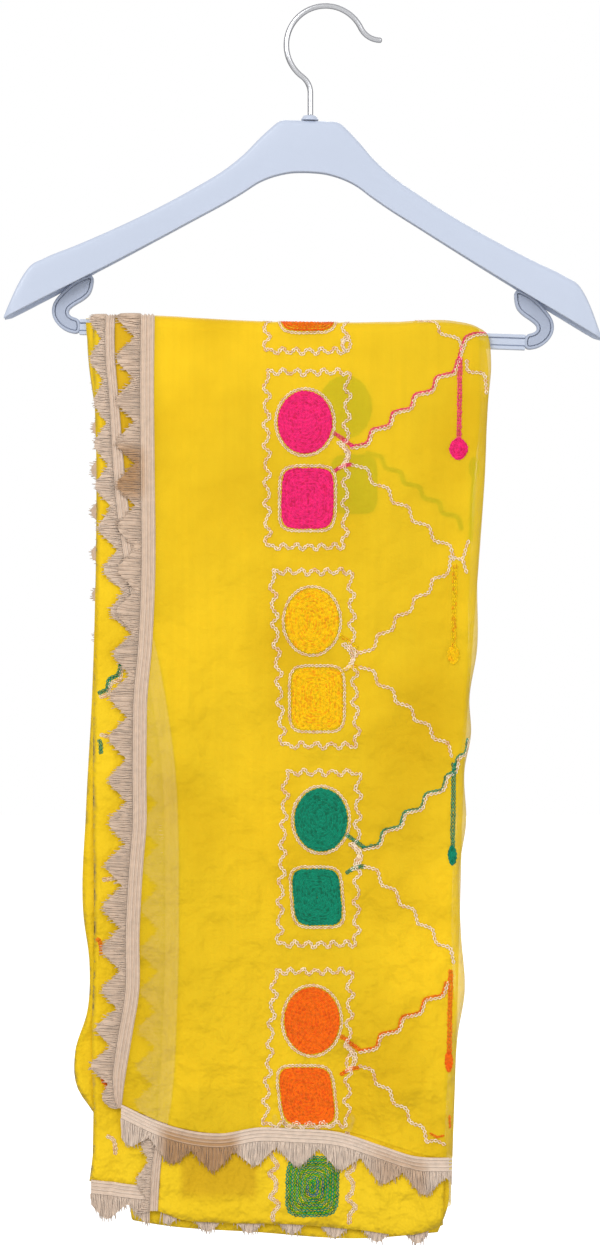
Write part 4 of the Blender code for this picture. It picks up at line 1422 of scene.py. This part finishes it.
def lace(name, sheet, place, nodes_shown, start, end, phase, painted_tone, lift=LACE_LIFT):
    """A strip of lace: place(along, out) gives x and up. A wavy ground, fringe threads of triangular
    section, each bowed and tapering to its end, and twisted cords on top."""
    along = np.arange(start, end, LACE_PITCH / GROUND_COLUMNS)
    share = np.linspace(0, 1, GROUND_ROWS)[:, None]
    x, up = place(along + 0 * share, (tooth_reach(tooth_count(along) + phase) - GROUND_SHORT) * share)
    wave = 0.25 * np.sin(along * 0.9 + 6 * share) * share
    points = lay_on(x, up, lift + wave, sheet).reshape(-1, 3)
    strip = mesh_object(name, points, grid_faces(len(share), len(along)), lace_paint)
    mark_shade(strip, lace_shade(x, up, sheet, painted_tone))

    marks = np.arange(start, end, THREAD_PITCH)
    count = len(marks)
    marks = marks + random.normal(0, THREAD_PLACE_WAVERS, count)
    ends = tooth_reach(tooth_count(marks) + phase) + random.normal(0.3, THREAD_END_WAVERS, count)
    bow, stray = random.normal(0, THREAD_BOW, count), random.normal(0, THREAD_STRAY, count)
    stations = np.array(THREAD_STATIONS)
    thin = THREAD_HALF * np.array(THREAD_THICK)[:, None]
    away = FRINGE_FROM + (ends[:, None] - FRINGE_FROM) * stations
    drift = marks[:, None] + bow[:, None] * np.sin(stations * 2.4) + stray[:, None] * stations**2 * 2.2
    drift = drift[:, :, None] + np.array([-1.0, 1.0, 0.0]) * thin
    high = lift + THREAD_LIFT + np.array([0.0, 0.0, 1.3]) * thin
    high = high + random.uniform(0, 0.2, count)[:, None, None]
    x, up = place(drift, np.broadcast_to(away[:, :, None], drift.shape))
    points = [lay_on(x, up, high, sheet).reshape(-1, 3)]
    shade = [lace_shade(x, up, sheet, painted_tone).ravel()]
    corners = len(stations) * 3
    offset = (np.arange(count) * corners)[:, None, None]
    faces = [list(q) for q in (grid_faces(len(stations), 3, round_columns=True) + offset).reshape(-1, 4)]
    caps = np.array([[2, 1, 0], [corners - 3, corners - 2, corners - 1]])
    faces += [list(t) for t in (caps + offset).reshape(-1, 3)]

    base = count * corners
    run = np.arange(start, end, CORD_STEP)
    around = np.radians(CORD_SECTION)
    for away, radius in CORDS:
        twist = radius * (1 + CORD_SWELL * np.sin(run * CORD_TURN + away))[:, None]
        x, up = place(np.repeat(run[:, None], len(around), axis=1), away + twist * np.cos(around))
        points.append(lay_on(x, up, lift + CORD_LIFT + twist * np.sin(around), sheet).reshape(-1, 3))
        shade.append(lace_shade(x, up, sheet, painted_tone).ravel() * CORD_LIGHTER)
        faces += [list(q) for q in grid_faces(len(run), len(around), round_columns=True) + base]
        base += x.size
    trim = mesh_object(f"{name}, threads", np.vstack(points), faces, lace_paint)
    mark_shade(trim, np.concatenate(shade))
    for obj in (strip, trim):
        soften(obj)
        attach(obj, "root")
    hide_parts(*nodes_shown)
    return strip, trim


def down_left_edge(sheet):
    """place() for a strip beside a sheet's left edge."""
    rows = SHEETS[sheet]["rows"]
    heights, shares = zip(*SIDE_REACH[sheet])

    def place(along, out):
        return through(along, rows, 1) - out * np.interp(along, heights, shares), along + 0 * out

    return place


def along_hem(sheet, drop=0.0):
    """place() for a strip below a sheet's front hem, along being x."""
    kind = SHEETS[sheet]
    middle = np.array(kind["hem"])[:, 1].mean()
    left, right = (float(through(middle, kind["rows"], column)) for column in (1, 2))

    def place(along, out):
        return along + 0 * out, through((along - left) / (right - left), kind["hem"], 1) + drop - out

    return place


# The last number of each strip is its least share of painted shade, all along it.
side_lace = lace(
    "side lace of the outer layer", "outer", down_left_edge("outer"), ("lace_front_side", "lace_back_side"),
    start=-794.0, end=417.0, phase=26.2, painted_tone=0.34,
)
second_lace = lace(
    "side lace of the second layer", "second", down_left_edge("second"), ("lace_second_side",),
    start=-868.0, end=413.0, phase=27.2, painted_tone=0.24,
)
end_lace = lace(
    "end lace of the outer layer", "outer", along_hem("outer"), ("lace_front_end",),
    start=-146.0, end=92.0, phase=4.0, painted_tone=0.05,
)
second_end = lace(
    "end lace of the second layer", "third", along_hem("second", 19.8), ("lace_second_end",),
    start=-116.0, end=76.0, phase=8.0, painted_tone=0.14, lift=0.0,
)
third_end = lace(
    "end lace of the third layer", "third", along_hem("third"), ("lace_third_end",),
    start=-168.0, end=-126.0, phase=20.0, painted_tone=0.15,
)
